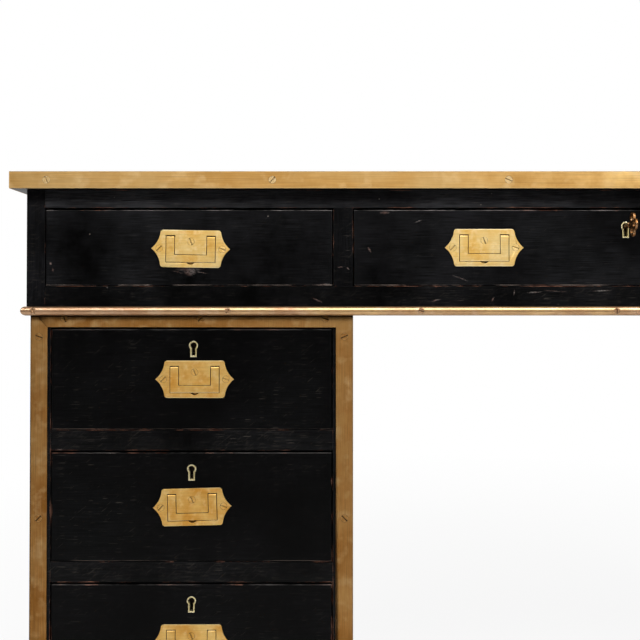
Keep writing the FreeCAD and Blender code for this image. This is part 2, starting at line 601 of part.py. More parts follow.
def make_pedestal_strips():
    """The left pedestal's brass: a mitred frame on the front, and angles on its four corners."""
    height = f"({PEDESTAL_TOP} - foot_height)"
    tall = ("foot_height", PEDESTAL_TOP)
    face = mitred_bar("outer_corner_face", height, "strip_width", "strip_thickness",
                      (f"-{PEDESTAL_OUTER}", PEDESTAL_FRONT, "foot_height"), UPRIGHT)
    side_x = (f"-{PEDESTAL_OUTER}", f"-{PANEL_OUTER}")
    flank = block("outer_corner_flank", side_x, (PEDESTAL_FRONT, f"{PEDESTAL_FRONT} + strip_width"), tall)
    rear_face = block("rear_corner_face", (f"-{PEDESTAL_OUTER}", f"-{PEDESTAL_OUTER} + strip_width"),
                      (PEDESTAL_REAR, PEDESTAL_BACK), tall)
    rear_flank = block("rear_corner_flank", side_x, (f"{PEDESTAL_BACK} - strip_width", PEDESTAL_BACK), tall)
    head = mitred_bar("strip_head_bar", "pedestal_width", "strip_width", "strip_thickness",
                      (f"-{PEDESTAL_OUTER}", PEDESTAL_FRONT, PEDESTAL_TOP), ALONG_Y)
    foot = mitred_bar("strip_foot_bar", "pedestal_width", "strip_width", "strip_thickness",
                      (f"-{PEDESTAL_OUTER}", PEDESTAL_FACE, "foot_height"), LYING_BACK)
    half, half_height = "(pedestal_width / 2)", f"({height} / 2)"
    middle_height = f"((foot_height + {PEDESTAL_TOP}) / 2)"
    heights = [f"{middle_height} + {half_height} * {share}" for share in STRIP_SIDE_SCREW_SHARES]
    side_line = f"(-{PEDESTAL_OUTER} + strip_width / 2)"
    strips, screws = [], []
    for name, strip, facing, y, z, shares in (
            ("strip_head", head, FRONT_FACING, PEDESTAL_FRONT, f"{PEDESTAL_TOP} - strip_width / 2",
             STRIP_TOP_SCREW_SHARES),
            ("strip_foot", foot, FRONT_FACING, PEDESTAL_FRONT, "foot_height + strip_width / 2",
             STRIP_FOOT_SCREW_SHARES)):
        places = [(f"-{PEDESTAL_MIDDLE} + {half} * {share}", y) for share in shares]
        heads, holes = screw_row(name, facing, places, z, "strip")
        strips.append(cut(name, strip, holes))
        screws += heads
    for name, angle, facing, y in (
            ("front_corner", fuse("front_corner_angle", face, flank), FRONT_FACING, PEDESTAL_FRONT),
            ("rear_corner", fuse("rear_corner_angle", rear_face, rear_flank), BACK_FACING, PEDESTAL_BACK)):
        heads, holes = screw_row(name, facing, [(side_line, y)] * len(heights), heights, "strip")
        drilled = cut(name, angle, holes)
        strips += [drilled, mirrored(f"{name}_inner", drilled, f"-{PEDESTAL_MIDDLE}")]
        screws += heads + [mirrored(f"{item.Name}_inner", item, f"-{PEDESTAL_MIDDLE}") for item in heads]
    return strips, screws


def make_feet():
    """Four turned feet of the left pedestal, and the pegs that they are held by."""
    body = doc.addObject("PartDesign::Body", "foot_turning")
    profile = body_sketch(body, "foot_profile", "XZ_Plane")
    peg_length = "strip_width * dowel_share"
    peg_top = f"foot_height + {peg_length}"
    corners = [(f"foot_radius * {radius}", f"foot_height * {height}") for radius, height, _ in FOOT_SHARES]
    corners += [("dowel_radius", "foot_height"), ("dowel_radius", peg_top), ("0", peg_top)]
    arcs = {}
    for count, (_, _, arc) in enumerate(FOOT_SHARES):
        if arc is not None:
            share, side = arc
            arcs[count] = f"foot_height * {share}", side
    outline(profile, corners, arcs)
    turning = body.newObject("PartDesign::Revolution", "foot_revolution")
    turning.Profile = profile
    turning.ReferenceAxis = (profile, ["V_Axis"])
    turning.Angle = WHOLE_TURN
    peg = rod("peg_hole", "dowel_radius + let_in_gap", f"{peg_length} + let_in_gap + overrun",
              ("0", "0", "foot_height - overrun"), None)
    feet, pegs = [], []
    for side, x in (("outer", f"-{PEDESTAL_OUTER} + foot_inset"),
                    ("inner", f"-{PEDESTAL_INNER} - foot_inset")):
        for end, y in (("front", f"{PEDESTAL_FRONT} + foot_inset"),
                       ("rear", f"{PEDESTAL_BACK} - foot_inset")):
            feet.append(copy(f"foot_{side}_{end}", body, (x, y, "0")))
            pegs.append(copy(f"peg_{side}_{end}", peg, (x, y, "0")))
    return feet, pegs


def plate_outline(sketch, gap):
    """The handle plate's shape: straight above and below, hollow curves to a point at each end."""
    tip = f"plate_width / 2 + {gap}"
    flat = f"plate_width * plate_flat_share / 2 + {gap}"
    high = f"plate_height / 2 + {gap}"
    corners = [(tip, "0"), (flat, high), (f"-({flat})", high), (f"-({tip})", "0"),
               (f"-({flat})", f"-({high})"), (flat, f"-({high})")]
    outline(sketch, corners, {count: ("plate_curve", 1) for count in (0, 2, 3, 5)})


def pan_outline(sketch, gap):
    half = f"{CHANNEL_HALF} + pan_wall + {gap}"
    foot, top = f"{CHANNEL_FOOT} - pan_wall - {gap}", f"{CHANNEL_TOP} + pan_wall + {gap}"
    outline(sketch, [(half, foot), (half, top), (f"-({half})", top), (f"-({half})", foot)])


def make_handle():
    """A flush handle plate with its sunk channel, the bail that lies in it, and their mortise."""
    body = doc.addObject("PartDesign::Body", "handle_casting")
    face = body_sketch(body, "plate_shape", "XZ_Plane", "plate_proud")
    plate_outline(face, "0")
    pad(body, face, "plate_sheet", backwards=True)
    pan = body_sketch(body, "pan_shape", "XZ_Plane", "plate_proud")
    pan_outline(pan, "0")
    pan_pad = pad(body, pan, f"{PAN_BACK} + plate_proud", backwards=True)
    doc.recompute()
    rounded = body.newObject("PartDesign::Fillet", "plate_corners")
    flat_end = number("plate_width * plate_flat_share / 2")
    at_corner = edges_where(pan_pad.Shape, lambda start, end: (
        same(start.x, end.x) and same(abs(start.x), flat_end)))
    rounded.Base = (pan_pad, [f"Edge{line}" for line in at_corner])
    bind(rounded, Radius="plate_corner")
    channel = body_sketch(body, "channel_shape", "XZ_Plane", "plate_proud")
    nick = "notch_width / 2"
    corners = [(f"-{CHANNEL_HALF}", CHANNEL_TOP), (f"-{CHANNEL_HALF}", CHANNEL_FOOT),
               (f"-{nick}", CHANNEL_FOOT), (nick, CHANNEL_FOOT),
               (CHANNEL_HALF, CHANNEL_FOOT), (CHANNEL_HALF, CHANNEL_TOP),
               (TONGUE_HALF, CHANNEL_TOP), (TONGUE_HALF, TONGUE_FOOT),
               (f"-{TONGUE_HALF}", TONGUE_FOOT), (f"-{TONGUE_HALF}", CHANNEL_TOP)]
    outline(channel, corners, {2: ("notch_width * notch_radius_share", -1)})
    sunk = bind(body.newObject("PartDesign::Pocket", "bail_channel"), Length="bail_thickness + bail_gap")
    sunk.Profile = channel
    head, screw_hole = SCREWS["handle"]
    reach = "plate_width * handle_screw_reach_share"
    places = (("0", "plate_height * handle_screw_rise_share"), (f"-{reach}", "0"), (reach, "0"))
    holes, screws = [], []
    for count, (x, z) in enumerate(places):
        at = (x, BAIL_FACE, z)
        spun = FreeCAD.Rotation(Y_AXIS, SLOT_TURN * (count + 1))
        holes.append(copy(f"handle_hole_{count}", screw_hole, at))
        screws.append(copy(f"handle_screw_{count}", head, at, spun))
    for name, x in (("left", f"-{BAIL_HALF} - pin_length - bail_gap"), ("right", f"{BAIL_HALF}")):
        holes.append(rod(f"pin_hole_{name}", "pin_radius + pin_clearance", "pin_length + bail_gap",
                         (x, PIVOT_DEPTH, PIVOT_HEIGHT), ALONG_X))
    plate = cut("handle_plate", body, group("handle_holes", holes))
    tool = doc.addObject("PartDesign::Body", "handle_mortise")
    bed = body_sketch(tool, "mortise_shape", "XZ_Plane", "overrun")
    plate_outline(bed, "let_in_gap")
    pad(tool, bed, "overrun + plate_sheet - plate_proud + let_in_gap", backwards=True)
    well = body_sketch(tool, "well_shape", "XZ_Plane", "overrun")
    pan_outline(well, "let_in_gap")
    pad(tool, well, f"overrun + {PAN_BACK} + let_in_gap", backwards=True)
    return group("handle_fitting", [plate, *screws]), make_bail(), tool


def make_bail():
    """The swinging bail: a flat U whose round upper ends turn on pins."""
    body = doc.addObject("PartDesign::Body", "bail_casting")
    shape = body_sketch(body, "bail_shape", "XZ_Plane", "plate_proud")
    outline(shape, [(f"-{BAIL_HALF}", PIVOT_HEIGHT), (f"-{BAIL_HALF}", BAIL_FOOT), (BAIL_HALF, BAIL_FOOT),
                    (BAIL_HALF, PIVOT_HEIGHT), (BAIL_INSIDE, PIVOT_HEIGHT), (BAIL_INSIDE, BAIL_BAR_TOP),
                    (f"-{BAIL_INSIDE}", BAIL_BAR_TOP), (f"-{BAIL_INSIDE}", PIVOT_HEIGHT)])
    pad(body, shape, "bail_thickness", backwards=True)
    pieces = [body]
    for name, knuckle, pin in (("left", f"-{BAIL_HALF}", f"-{BAIL_HALF} - pin_length"),
                               ("right", BAIL_INSIDE, BAIL_HALF)):
        pieces.append(rod(f"bail_knuckle_{name}", "bail_thickness / 2", f"{BAIL_HALF} - {BAIL_INSIDE}",
                          (knuckle, PIVOT_DEPTH, PIVOT_HEIGHT), ALONG_X))
        pieces.append(rod(f"bail_pin_{name}", "pin_radius", "pin_length",
                          (pin, PIVOT_DEPTH, PIVOT_HEIGHT), ALONG_X))
    return fuse("bail", *pieces)


def keyhole_shape(name, inset, gap, front, back):
    """A round-headed keyhole, drawn in from the escutcheon's outline, below the front's top at z = 0."""
    radius = f"(escutcheon_head - {inset} + {gap})"
    half = f"(escutcheon_skirt / 2 - {inset} + {gap})"
    foot = f"({inset} - {gap} - {KEYHOLE_FOOT})"
    head = rod(f"{name}_head", radius, f"({back}) - ({front})", ("0", front, "-key_drop"), ALONG_Y)
    skirt = block(f"{name}_skirt", (f"-{half}", half), (front, back), (foot, "-key_drop"))
    return fuse(name, head, skirt)


def lock_shape(name, gap, behind):
    """Plate, selvage and case of a drawer lock, let into the inside of a front from its top edge."""
    wide, case = f"(lock_width / 2 + {gap})", f"(lock_case_width / 2 + {gap})"
    front, back = f"({LOCK_FRONT} - {gap})", f"(front_thickness + {behind})"
    plate_front = f"(front_thickness - lock_plate - {gap})"
    plate = block(f"{name}_plate", (f"-{wide}", wide), (plate_front, back),
                  (f"{LOCK_FOOT} - {gap}", behind))
    selvage = block(f"{name}_selvage", (f"-{wide}", wide), (front, back),
                    (f"-lock_plate - {gap}", behind))
    case = block(f"{name}_case", (f"-{case}", case), (front, plate_front),
                 (f"{LOCK_FOOT} + lock_plate - {gap}", f"-lock_plate - {gap}"))
    return fuse(name, plate, selvage, case)


def make_lock():
    """A drawer lock, its bolt, its escutcheon, and what they and the key need cut from the front."""
    keyhole = keyhole_shape("keyhole", "escutcheon_wall", "0", "-overrun", CHAMBER_FRONT)
    chamber = rod("lock_chamber", "bit_reach + 2 * lock_gap", f"{CHAMBER_BACK} - {CHAMBER_FRONT}",
                  ("0", CHAMBER_FRONT, "-key_drop"), ALONG_Y)
    reach = "(bolt_width / 2 + lock_gap)"
    shaft = block("bolt_way", (f"-{reach}", reach), (f"{BOLT_FRONT} - lock_gap", f"{BOLT_BACK} + lock_gap"),
                  ("-bolt_length - lock_gap", "overrun"))
    lock = cut("lock", lock_shape("lock_solid", "0", "0"), keyhole, chamber, shaft)
    bolt = block("lock_bolt", ("-bolt_width / 2", "bolt_width / 2"), (BOLT_FRONT, BOLT_BACK),
                 ("-bolt_length", "-lock_gap"))
    ring = keyhole_shape("escutcheon_outside", "0", "0", "-escutcheon_proud", "escutcheon_depth")
    escutcheon = cut("escutcheon", ring, keyhole)
    seat = keyhole_shape("escutcheon_seat", "0", "let_in_gap", "-overrun", "escutcheon_depth + let_in_gap")
    return lock, bolt, escutcheon, (lock_shape("lock_mortise", "let_in_gap", "overrun"), seat, keyhole)


def make_key():
    """The key: a bow of three rings on a stem, a collar, and the bit inside the lock."""
    bow_y = "(key_lobe_offset + key_lobe - key_reach)"
    thick = "key_bow_thickness"
    discs, holes = [], []
    for name, y, z in (("upper", bow_y, "-key_drop + key_lobe_offset"),
                       ("lower", bow_y, "-key_drop - key_lobe_offset"),
                       ("end", f"{bow_y} - key_lobe_offset", "-key_drop")):
        discs.append(rod(f"key_{name}_ring", "key_lobe", thick, (f"-{thick} / 2", y, z), ALONG_X))
        holes.append(rod(f"key_{name}_eye", "key_lobe_hole", f"{thick} + 2 * overrun",
                         (f"-{thick} / 2 - overrun", y, z), ALONG_X))
    stem = rod("key_shank", "key_stem", f"{BIT_BACK} - {bow_y}", ("0", bow_y, "-key_drop"), ALONG_Y)
    collar = rod("key_band", "key_collar", "key_collar_length",
                 ("0", f"{bow_y} + key_lobe", "-key_drop"), ALONG_Y)
    bit = block("key_bit", ("-bit_thickness / 2", "bit_thickness / 2"),
                (BIT_FRONT, BIT_BACK), ("-key_drop - bit_reach", "-key_drop"))
    bow = cut("key_bow", fuse("key_bow_blank", *discs), group("key_eyes", holes))
    return fuse("key", bow, stem, collar, bit)


def make_drawer(kind, width, height, length):
    """A drawer at its own origin: the front's face on y = 0 and its lower edge on z = 0."""
    half, inside = f"({width} / 2)", f"({width} / 2 - drawer_side)"
    side_top = f"({height} - side_drop)"
    panel_top = "(bottom_rise + drawer_bottom)"
    blank = block(f"{kind}_front_blank", (f"-{half}", half), ("0", "front_thickness"), ("0", height))
    doc.recompute()
    eased = doc.addObject("Part::Fillet", f"{kind}_front_eased")
    eased.Base = blank
    radius = number("front_edge_radius")
    on_face = edges_where(blank.Shape, lambda start, end: same(start.y, 0) and same(end.y, 0))
    eased.Edges = [(line, radius, radius) for line in on_face]
    panel_half = f"({inside} + groove_depth)"
    panel = block(f"{kind}_bottom", (f"-{panel_half}", panel_half),
                  ("front_thickness - groove_depth", length), ("bottom_rise", panel_top))
    rear = block(f"{kind}_back", (f"-{inside}", inside), (f"{length} - drawer_back", length),
                 (panel_top, f"{side_top} - back_drop"))
    pitch = f"({side_top} / {TAIL_COUNT})"
    sides, all_tails = [], []
    for name, x in (("left", (f"-{half}", f"-{inside}")), ("right", (inside, half))):
        board = block(f"{kind}_{name}_board", x, ("front_thickness", length), (SIDE_FOOT, side_top))
        tails = [dovetail(f"{kind}_{name}_tail_{count}", x, pitch, count) for count in range(TAIL_COUNT)]
        tailed = fuse(f"{kind}_{name}_tailed", board, *tails)
        sides.append(cut(f"{kind}_{name}_side", tailed, panel))
        all_tails += tails
    front = cut(f"{kind}_front", eased, group(f"{kind}_tails", all_tails), panel)
    return front, group(f"{kind}_box", [*sides, rear, panel])


def dovetail(name, x, pitch, count):
    """One tail of a lapped dovetail joint, wide at its tip inside the drawer front."""
    tail = doc.addObject("Part::Wedge", name)
    middle = f"({pitch} * ({count} + 1 / 2))"
    wide = f"({pitch} * tail_wide_share / 2)"
    narrow = f"({pitch} * tail_narrow_share / 2)"
    bind(tail, Xmin=x[0], Xmax=x[1], X2min=x[0], X2max=x[1], Ymin="front_lap", Ymax="front_thickness",
         Zmin=f"{middle} - {wide}", Zmax=f"{middle} + {wide}",
         Z2min=f"{middle} - {narrow}", Z2max=f"{middle} + {narrow}")
    return tail


def place_handles(name, front, handles, face):
    """Let each handle into a drawer front; return the front, the fittings and the bails."""
    fitting, bail, mortise = HANDLE
    fittings, bails = [], []
    for count, (x, z, tilt) in enumerate(handles):
        copies = [copy(f"{name}_{piece}_{count}", source, (x, face, z), FreeCAD.Rotation(Y_AXIS, 1))
                  for piece, source in (("fitting", fitting), ("bail", bail), ("mortise", mortise))]
        for item in copies:
            item.setExpression("Placement.Rotation.Angle", formula(tilt))
        fittings.append(copies[0])
        bails.append(copies[1])
        front = cut(f"{name}_front_let_{count}", front, copies[2])
    return front, fittings, bails


def fit_drawer(name, master, x, face, floor, height, handles, locked):
    """Put a drawer in its opening with its handles and lock, and name its front and box."""
    front, box = master
    at = (x, face, f"{floor} + drawer_bottom_gap")
    front = copy(f"{name}_front_placed", front, at)
    lock_x = f"{x} + {LOCK_SHIFTS.get(name, '0')}"
    lock_at = (lock_x, face, f"{floor} + drawer_bottom_gap + {height}")
    lock, bolt, escutcheon, cuts = LOCK
    pieces = {}
    if locked:
        tools = [copy(f"{name}_lock_cut_{count}", tool, lock_at) for count, tool in enumerate(cuts)]
        front = cut(f"{name}_front_mortised", front, *tools)
        for piece, source in (("lock", lock), ("bolt", bolt), ("escutcheon", escutcheon)):
            pieces[piece] = copy(f"{name}_{piece}_placed", source, lock_at)
    front, fittings, bails = place_handles(name, front, handles, face)
    sub_part(f"{name}_drawer_front", [front])
    sub_part(f"{name}_drawer_box", [copy(f"{name}_box_placed", box, at)])
    return pieces, fittings, bails, lock_at


def make_drawers():
    """Nine drawers: three in the frieze, and three graduated ones in each pedestal."""
    frieze_length = f"({CASE_BACK} - frieze_back_thickness - back_room - {CASE_FRONT})"
    pedestal_length = f"({PEDESTAL_REAR} - pedestal_back_thickness - back_room - {PEDESTAL_FACE})"
    frieze_middle = handle_height("frieze", "(frieze_drawer_height / 2)")
    bay_middle = f"(({CASE_INSIDE} + {PARTITION_OUTER}) / 2)"
    side = make_drawer("side_frieze", f"({CASE_INSIDE} - {PARTITION_OUTER} - 2 * drawer_side_gap)",
                       "frieze_drawer_height", frieze_length)
    dropped = f"({frieze_middle} - left_frieze_handle_drop)"
    for name, x, z in (("left_frieze", f"-{bay_middle}", dropped),
                       ("right_frieze", bay_middle, frieze_middle)):
        _, fittings, bails, _ = fit_drawer(name, side, x, CASE_FRONT, FLOOR["frieze"],
                                           "frieze_drawer_height", [handle_place(name, x, z)], locked=False)
        sub_part(f"{name}_handle_plate", fittings)
        sub_part(f"{name}_bail", bails)
    make_centre_drawer(frieze_length, frieze_middle)
    under_keyhole = f"{KEYHOLE_FOOT} + plate_below_keyhole + plate_height / 2"
    for row in ("upper", "middle", "lower"):
        height = f"{row}_drawer_height"
        z = handle_height(row, f"max({height} / 2; {under_keyhole})")
        master = make_drawer(row, f"({OPENING_OUTER} - {OPENING_INNER} - 2 * drawer_side_gap)", height,
                             pedestal_length)
        for hand, x in (("left", f"-{PEDESTAL_MIDDLE}"), ("right", PEDESTAL_MIDDLE)):
            name = f"{hand}_{row}"
            pieces, fittings, bails, _ = fit_drawer(name, master, x, PEDESTAL_FACE, FLOOR[row], height,
                                                    [handle_place(name, x, z)], locked=True)
            sub_part(f"{name}_brassware", [*fittings, *pieces.values()])
            sub_part(f"{name}_bail", bails)


def handle_place(name, x, z):
    """Where a drawer's single handle is let in, and how far it is tilted."""
    return f"{x} + {HANDLE_SHIFTS.get(name, '0')}", z, HANDLE_TILTS.get(name, "0")


def handle_height(row, drop):
    """The middle of a handle that is let in so far below the top of its drawer's front."""
    return f"({CEILING[row]} - drawer_top_gap - {drop})"


def make_centre_drawer(length, middle):
    """The wide drawer over the knee-hole, with two handles, a working lock and its key."""
    width = f"(2 * {PEDESTAL_INNER} - 2 * drawer_side_gap)"
    master = make_drawer("centre", width, "frieze_drawer_height", length)
    handles = [(f"{side} * {PEDESTAL_INNER} * centre_handle_share", middle, "0") for side in (-1, 1)]
    pieces, fittings, bails, lock_at = fit_drawer("centre", master, "0", CASE_FRONT, FLOOR["frieze"],
                                                  "frieze_drawer_height", handles, locked=True)
    sub_part("centre_handle_plates", fittings)
    sub_part("centre_left_bail", bails[:1])
    sub_part("centre_right_bail", bails[1:])
    sub_part("centre_escutcheon", [pieces["escutcheon"]])
    sub_part("centre_lock", [pieces["lock"]])
    sub_part("centre_lock_bolt", [pieces["bolt"]])
    sub_part("centre_key", [copy("key_placed", make_key(), lock_at)])


def check():
    """Stop if any object of the document failed or any sub-part's shape is bad."""
    for item in doc.Objects:
        if {"Invalid", "Error"} & set(item.State):
            raise RuntimeError(f"{item.Name} did not build")
    for node in sub_parts:
        if node.Shape.isNull() or not node.Shape.isValid() or not node.Shape.Solids:
            raise RuntimeError(f"{node.Label} has no sound shape")


def export():
    os.makedirs("parts", exist_ok=True)
    for node in sub_parts:
        node.Shape.exportStep(f"parts/{node.Label}.step")


fill_sheet()
SCREWS = make_screw_heads()
HANDLE = make_handle()
LOCK = make_lock()
edge_screws = make_top()
kicker_strips = make_frieze()
bead_screws = make_bead()
runner_strips, strip_screws = make_pedestals()
sub_part("drawer_runners", runner_strips + kicker_strips)
sub_part("trim_screws", edge_screws + bead_screws + strip_screws)
make_drawers()
doc.recompute()
check()
export()
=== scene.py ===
import json
import math

import bpy
import numpy as np
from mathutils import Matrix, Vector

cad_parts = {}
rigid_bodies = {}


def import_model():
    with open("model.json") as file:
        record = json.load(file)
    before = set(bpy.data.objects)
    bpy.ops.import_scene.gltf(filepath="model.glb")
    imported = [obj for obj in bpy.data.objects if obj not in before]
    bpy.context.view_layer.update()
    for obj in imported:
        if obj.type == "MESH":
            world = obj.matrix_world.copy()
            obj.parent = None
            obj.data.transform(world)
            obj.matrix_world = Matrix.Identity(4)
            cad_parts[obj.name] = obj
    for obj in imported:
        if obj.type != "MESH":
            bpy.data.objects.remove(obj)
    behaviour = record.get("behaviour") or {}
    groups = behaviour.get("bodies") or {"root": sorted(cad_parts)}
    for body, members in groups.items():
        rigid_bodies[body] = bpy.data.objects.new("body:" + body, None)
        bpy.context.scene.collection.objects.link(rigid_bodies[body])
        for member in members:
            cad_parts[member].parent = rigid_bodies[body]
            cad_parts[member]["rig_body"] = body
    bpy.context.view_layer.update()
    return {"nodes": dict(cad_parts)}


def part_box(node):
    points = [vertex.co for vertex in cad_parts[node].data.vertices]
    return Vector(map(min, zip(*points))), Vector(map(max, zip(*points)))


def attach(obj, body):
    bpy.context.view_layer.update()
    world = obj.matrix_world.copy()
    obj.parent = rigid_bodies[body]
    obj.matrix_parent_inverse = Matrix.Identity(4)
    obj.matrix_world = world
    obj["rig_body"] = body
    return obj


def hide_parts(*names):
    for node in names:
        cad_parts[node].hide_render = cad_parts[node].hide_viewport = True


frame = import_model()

bl_info = {
    "name": "Campaign desk",
    "version": (1, 0, 0),
    "blender": (4, 5, 0),
    "location": "View3D > Sidebar > Campaign desk",
    "description": "Dresses the desk's solids in worn black lacquer, old brass and leather",
    "category": "Object",
}

NODES = frame["nodes"]
MM = 0.001
DRAWERS = ("left_upper", "left_middle", "left_lower", "right_upper", "right_middle", "right_lower")
FRIEZE_DRAWERS = ("left_frieze", "right_frieze")

# Copies of the solids: how near points are merged, how flat faces are joined, how sharp an edge is eased,
# and how far the broad faces lead the shading of their eased edges
WELD = 0.01 * MM
FLAT = math.radians(0.4)
SHARP = math.radians(38)
BROAD_FACE_WEIGHT = 90

# A handle's plate, with the places of its screws as shares of it
PLATE_WIDTH = 88.5 * MM
PLATE_HEIGHT = 41.8 * MM
SCREW_SHARE = 0.398
UPPER_SCREW_SHARE = 0.19

# Dirt and painted shade on a handle: how far they lie from the bail's box and from a screw's middle, how far
# the rest stays from a screw, and how far a face has to turn from the front to hold them
JOINT = 0.8 * MM
SLOT_REACH = 3.0 * MM
HEAD_REACH = 4.6 * MM
TURNED_AWAY = -0.55

# Where one finish gives way to another: the end lengths of the top's angle, the bare back of a drawer's
# front, the steel lock behind the brass, and the one bail that is darker than its plate
END_LENGTH = 16 * MM
BARE_BACK = 0.5 * MM
BRASS_DEPTH = 6.5 * MM
DEEP_BAIL = "left_frieze"

# Sizes of the marks in the finishes, in millimetres; pairs are length and breadth, or where a mark is full
# and where it has gone
HAZE_SIZE = 143
BRUSH_LINE = (30, 0.7)
SCRATCH = (16, 0.5)
SLANTED_SCRATCH = (12, 0.4)
SPECK_SPACING = 10.5
SCUFF_TINT_SIZE = 11
WORN_PATCH = 29
WORN_REACH = 5
RUB_SIZE = 45
BRINK_DROP = (0.5, 0.9)
BRINK_DEPTH = (1.2, 2.4)
KNOCK_DEPTH = 8
RAGGED_SIZE = 1.1
RAGGED_REACH = 2.4
FLAKE = (3, 0.8)
RUBBED_LINE = (45, 0.7)
# How far the pale edges, rubbed and painted as a highlight, are full and where they have gone
BRIGHT_EDGE = (0.2, 1.1)
# How far the painted shadow under the bead is full and where it has gone
SHADOW_BELOW_BEAD = (1.4, 2.6)
GRAIN = (220, 5)
PORE = (9, 0.5)
PEBBLE_SIZE = 1.6
TOOLED_LINES = ((16, 0.9), (20, 0.5), (34, 0.5))
MOTTLE_SIZE = 330

# Colours of wear and dirt, some of which also paint highlights and shade, and of the floor
SCRATCH_GREY = "#37332f"
SPECK_GREY = "#66605a"
SCUFF_BROWN = "#7d625a"
SCUFF_GREY = "#9b938e"
LOWER_BRINK = "#96877d"
UPPER_BRINK_HIGHLIGHT = "#a8a19e"
HOLLOW_DIRT_AND_SHADE = "#21160b"
JOINT_DIRT_AND_SHADE = "#8d6c38"
PORE_BROWN = "#2c1a10"
DULL_GILT = "#8a6a35"
FLOOR_GREY = "#ecebe9"
FLOOR_PALE = "#f3f2f1"
WHITE = (1, 1, 1, 1)

# Soft lights: size, place and the point that each one faces, in metres
LIGHTS = {
    "top": ((3.7, 0.3), (0.18, -1.5, 1.95), (-0.2, -0.3, 0.6)),
    "side": ((1.2, 1.2), (1.9, -2.6, 1.7), (-0.2, -0.3, 0.6)),
    "back": ((1.6, 1.6), (-2.4, 2.2, 1.7), (-0.2, 0.2, 0.5)),
}
# The camera's sensor, in millimetres
SENSOR_WIDTH = 36.0

# How far some of the scratches slant, in degrees, and how much rarer they are than the level ones
SLANT = 38
SLANTED_RARER = 0.05

# The depth at which the lacquer is knocked, between the frieze's face and the pedestals'
KNOCKED_FACE = -302 * MM

# Old knocks in the lacquer: place across and up in metres, half length and half width in
# millimetres, turn in degrees and how pale each one is
KNOCKS = (
    (-0.6442, 0.6496, 1.4, 1.3, 0, 1.0),
    (-0.6415, 0.6425, 1.0, 2.2, 10, 0.35),
    (-0.3455, 0.6085, 5.5, 0.6, -24, 0.6),
    (-0.2870, 0.6650, 3.4, 0.8, -60, 0.5),
    (-0.1850, 0.6330, 8.5, 0.6, -20, 0.5),
    (-0.3195, 0.6455, 3.2, 0.5, 4, 0.55),
    (-0.3110, 0.6440, 2.0, 0.6, -50, 0.5),
    (-0.2700, 0.7065, 5.0, 1.4, 0, 0.5),
    (-0.2320, 0.6970, 4.0, 0.5, 20, 0.4),
    (-0.2120, 0.6085, 4.6, 0.9, 12, 0.5),
    (-0.1490, 0.6095, 2.4, 0.8, 60, 0.45),
    (-0.1250, 0.6170, 2.8, 0.5, 80, 0.5),
    (-0.1020, 0.6175, 8.0, 0.6, 3, 0.5),
    (-0.0790, 0.6185, 11.0, 0.5, -3, 0.45),
    (-0.0270, 0.6190, 9.0, 0.6, 2, 0.5),
    (-0.3390, 0.6258, 7.0, 0.7, 6, 0.6),
    (-0.6340, 0.4410, 3.0, 0.8, 0, 0.55),
    (-0.5760, 0.4370, 8.0, 0.6, 2, 0.4),
    (-0.4890, 0.6430, 13.0, 1.8, 0, 0.3),
    (-0.4880, 0.6405, 6.0, 4.2, 0, 0.42),
    (-0.5020, 0.6400, 6.0, 0.5, -14, 0.4),
    (-0.4750, 0.6395, 6.0, 0.5, -10, 0.4),
)

# How a Mix node blends colours: its share goes into socket 0 and the two colours into 6 and 7
COLOURS = {"out": 2, "data_type": "RGBA"}


def linear(code):
    """An sRGB hex colour as linear red, green, blue and alpha."""
    colour = []
    for place in (1, 3, 5):
        share = int(code[place:place + 2], 16) / 255
        colour.append(share / 12.92 if share <= 0.04045 else ((share + 0.055) / 1.055) ** 2.4)
    return [*colour, 1.0]


def chosen(choice):
    """A colour as the panel has it."""
    return [*getattr(bpy.context.scene.desk_looks, choice), 1.0]


def toned(colour, power):
    """A colour deepened by a power over one, as tarnish does, or paled by one under it, as rubbing does."""
    return [share ** power for share in colour[:3]] + [1.0]


def marks_across(size):
    """The scale of a pattern whose marks are so many millimetres across."""
    return 1 / (size * MM)


def add(tree, kind, inputs=None, out=0, **settings):
    """Add a node with its settings, set or link its inputs, and return one of its outputs."""
    node = tree.nodes.new(f"ShaderNode{kind}")
    for name, value in settings.items():
        setattr(node, name, value)
    for socket, source in (inputs or {}).items():
        if isinstance(source, bpy.types.NodeSocket):
            tree.links.new(source, node.inputs[socket])
        else:
            node.inputs[socket].default_value = source
    return node.outputs[out] if node.outputs else node


def blank_finish(name):
    """A material with nothing in its node tree, and that tree."""
    finish = bpy.data.materials.new(name)
    finish.use_nodes = True
    finish.node_tree.nodes.clear()
    return finish, finish.node_tree


def show(tree, inputs):
    """End a node tree in a Principled surface with these inputs."""
    surface = add(tree, "BsdfPrincipled", inputs)
    add(tree, "OutputMaterial", {"Surface": surface})


def once(make):
    """Make a finish the first time that it is asked for, and find it again after that."""
    def finish():
        return bpy.data.materials.get(make.__name__) or make(make.__name__)
    return finish


def nearest_edge(tree, along=None):
    """Metres to the nearest edge of a board, or only to the edges that run along one axis.

    On any face one of the three distances is nothing, so the middle one leads to the nearest edge.
    """
    low = add(tree, "Attribute", out="Vector", attribute_name="from_low")
    high = add(tree, "Attribute", out="Vector", attribute_name="to_high")
    near = add(tree, "VectorMath", {0: low, 1: high}, operation="MINIMUM")
    x, y, z = add(tree, "SeparateXYZ", {0: near}).node.outputs
    if along:
        one, other = [way for axis, way in zip("XYZ", (x, y, z)) if axis != along]
        return add(tree, "Math", {0: one, 1: other}, operation="MAXIMUM")
    less = add(tree, "Math", {0: x, 1: y}, operation="MINIMUM")
    more = add(tree, "Math", {0: x, 1: y}, operation="MAXIMUM")
    capped = add(tree, "Math", {0: more, 1: z}, operation="MINIMUM")
    return add(tree, "Math", {0: less, 1: capped}, operation="MAXIMUM")


